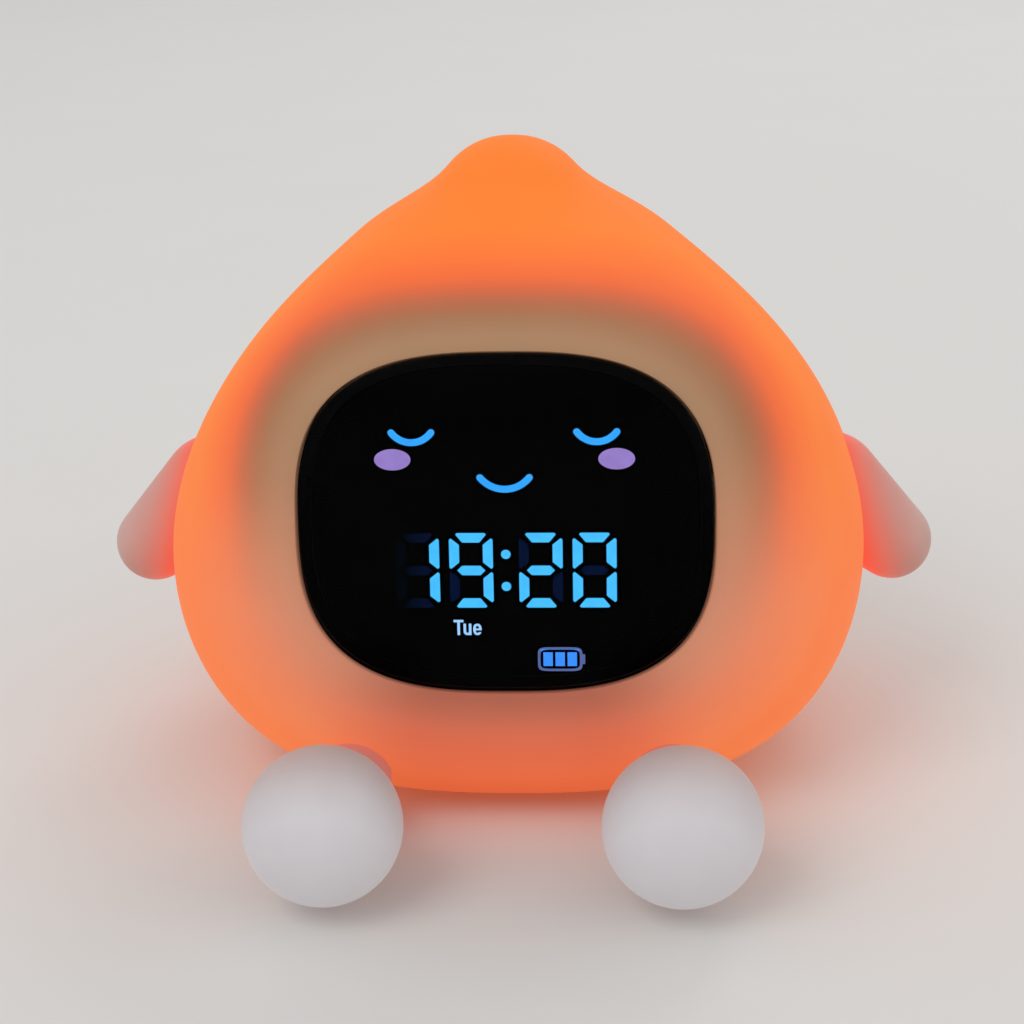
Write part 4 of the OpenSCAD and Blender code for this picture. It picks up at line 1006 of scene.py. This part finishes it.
class CLOCK_OT_base(bpy.types.Operator):
    """Finish the soft pad, the bottom cover and its screws"""
    bl_idname = "clock.base"
    bl_label = "Base"

    def execute(self, context):
        plastic = moulded_plastic("cover_abs", colour_of("plastic"), grain_mm=0.6)
        pad = moulded_plastic("pad_rubber", linear("8C8C90"), grain_mm=0.25, depth_mm=0.03, roughness=0.72)
        refine("base_pad", "soft_pad", pad, SOFT_EDGE)
        refine("bottom_cover", "bottom_plate", plastic)
        refine("base_screws", "cover_screws", zinc_steel(), FINE_EDGE)
        return {"FINISHED"}


def smooth_plastic(name, colour):
    """Extruded PVC or polyester film: plain, smooth and slightly glossy."""
    return moulded_plastic(name, linear(colour), grain_mm=0.8, depth_mm=0.005, roughness=0.4)


class CLOCK_OT_inside(bpy.types.Operator):
    """Give every piece inside the case its own finish"""
    bl_idname = "clock.inside"
    bl_label = "Inside"

    def execute(self, context):
        white = moulded_plastic("inner_abs", linear("E6E3DA"))
        black = moulded_plastic("black_resin", linear("26262A"), grain_mm=0.3)
        steel = zinc_steel()
        green_board = solder_mask("green_board", linear("1E7A48"))
        # Milky: it spreads the light of the eight LEDs over the whole skin.
        milky = moulded_plastic("milky_polycarbonate", linear("F3E9DC"), grain_mm=0.8, depth_mm=0.01,
                                roughness=0.6)
        # Near black behind the smoked lens, so that nothing but the symbols shows there.
        tape = moulded_plastic("foam_tape", linear("060607"), grain_mm=0.3, depth_mm=0.03, roughness=0.9)
        film = moulded_plastic("light_mask_film", linear("050506"), grain_mm=0.3, depth_mm=0.002,
                               roughness=0.9)
        # Open cells, dull and soft.
        foam = moulded_plastic("foam_pad", linear("333338"), grain_mm=0.4, depth_mm=0.04, roughness=0.85)
        # Lacquered, so it looks satin and not like bare metal.
        brass = moulded_plastic("sensor_brass", linear("C8A850"), grain_mm=0.8, depth_mm=0.004,
                                roughness=0.3)
        # Clear resin over the chips, yellowed by the phosphor in it.
        resin = moulded_plastic("led_resin", linear("F4EEC8"), depth_mm=0.004, roughness=0.3)
        rgb_resin = moulded_plastic("rgb_led_resin", linear("F8F4DC"), depth_mm=0.004, roughness=0.3)
        finishes = {
            "diffuser_dome": milky,
            "base_tray": white,
            "display_housing": white,
            "reflector_block": white,
            "foot_plates": steel,
            "foot_screws": steel,
            "light_board_screws": steel,
            "display_screws": steel,
            "board_screws": steel,
            "slide_switch": steel,
            "display_board": green_board,
            "main_board": green_board,
            "light_board": solder_mask("white_board", linear("EDEFF0")),
            "display_chips": black,
            "board_chips": black,
            "tact_switches": black,
            "speaker": moulded_plastic("speaker_frame", linear("2C2C2F"), grain_mm=0.4),
            "lens_tape": tape,
            "display_mask": film,
            "battery_pad": foam,
            "battery_cell": foil_pouch(),
            "battery_leads": smooth_plastic("pvc_red", "B01C18"),
            "light_leads": smooth_plastic("pvc_amber", "D89020"),
            "speaker_leads": smooth_plastic("pvc_black", "202022"),
            "display_ribbon": smooth_plastic("ribbon_film", "D8D8D2"),
            "tap_sensor": brass,
            "segment_leds": resin,
            "rgb_leds": rgb_resin,
        }
        for node, material in finishes.items():
            dress(node, material)
        return {"FINISHED"}


# Studio lights: name, place, size, power in watts and tint.
LIGHTS = (
    ("key", (-0.55, -0.75, 1.0), 0.7, 4.2, (0.98, 0.99, 1.0)),
    ("fill", (0.95, -0.5, 0.6), 0.8, 1.2, (1.0, 0.9, 0.84)),
    ("rim", (0.35, 0.95, 0.9), 0.6, 2.4, (1.0, 1.0, 1.0)),
)
LIGHT_TARGET = Vector((0, 0, 0.05))
SKY_COLOUR = (0.97, 0.98, 1.0)
SKY_STRENGTH = 0.74


class CLOCK_OT_stage(bpy.types.Operator):
    """Add the plain floor and the soft studio light"""
    bl_idname = "clock.stage"
    bl_label = "Stage"

    def execute(self, context):
        deselect()
        bpy.ops.mesh.primitive_plane_add(size=12)
        floor = context.object
        floor.name = "floor"
        floor.data.materials.append(matt_floor())
        world = context.scene.world or bpy.data.worlds.new("studio")
        context.scene.world = world
        g = Graph(world)
        sky = g.tree.nodes["Background"]
        g.put(sky.inputs["Color"], SKY_COLOUR)
        g.put(sky.inputs["Strength"], SKY_STRENGTH)
        # The eye sees the far floor's own shade instead of the sky, so no horizon shows.
        far = g.add("Background", colour_of("floor"), SKY_STRENGTH)
        seen = g.add("LightPath").outputs["Is Camera Ray"]
        g.put(g.tree.nodes["World Output"].inputs["Surface"], g.add("MixShader", seen, sky, far))
        for name, place, size, power, tint in LIGHTS:
            bpy.ops.object.light_add(type="AREA", location=place)
            lamp = context.object
            lamp.name = name
            lamp.rotation_euler = (LIGHT_TARGET - Vector(place)).to_track_quat("-Z", "Y").to_euler()
            lamp.data.size = size
            lamp.data.energy = power
            lamp.data.color = tint
        context.scene.view_settings.view_transform = "Standard"
        return {"FINISHED"}


def matt_floor():
    """Matt painted board: plain and pale, with faint cloudy patches."""
    cloud = 60.0
    g, where = new_material("matt_floor")
    base = g.add("Mix", 0.03, colour_of("floor"), g.add("TexNoise", where, 1 / cloud, 3.0), **OVERLAY)
    return g.surface(Base_Color=base, Roughness=0.9, Specular_IOR_Level=0.2)


class VIEW3D_PT_night_light(bpy.types.Panel):
    """Lists the clock's pieces and its settings"""
    bl_label = "Night Light Clock"
    bl_idname = "VIEW3D_PT_night_light"
    bl_space_type = "VIEW_3D"
    bl_region_type = "UI"
    bl_category = "Night Light"

    def draw(self, context):
        layout = self.layout
        for group in (context.scene.clock_sizes, context.scene.clock_colours):
            box = layout.box()
            for key in group.__annotations__:
                box.prop(group, key)
        for operator in STEPS:
            layout.operator(operator.bl_idname)


STEPS = (CLOCK_OT_camera, CLOCK_OT_skin, CLOCK_OT_arms, CLOCK_OT_feet, CLOCK_OT_display,
         CLOCK_OT_back, CLOCK_OT_base, CLOCK_OT_inside, CLOCK_OT_stage)
CLASSES = (ClockSizes, ClockColours, *STEPS, VIEW3D_PT_night_light)


def register():
    for cls in CLASSES:
        bpy.utils.register_class(cls)
    bpy.types.Scene.clock_sizes = PointerProperty(type=ClockSizes)
    bpy.types.Scene.clock_colours = PointerProperty(type=ClockColours)


def unregister():
    del bpy.types.Scene.clock_sizes
    del bpy.types.Scene.clock_colours
    for cls in reversed(CLASSES):
        bpy.utils.unregister_class(cls)


def main():
    """Builds the clock piece by piece."""
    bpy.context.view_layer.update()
    register()
    for step in STEPS:
        group, name = step.bl_idname.split(".")
        getattr(getattr(bpy.ops, group), name)()


if __name__ == "__main__":
    main()
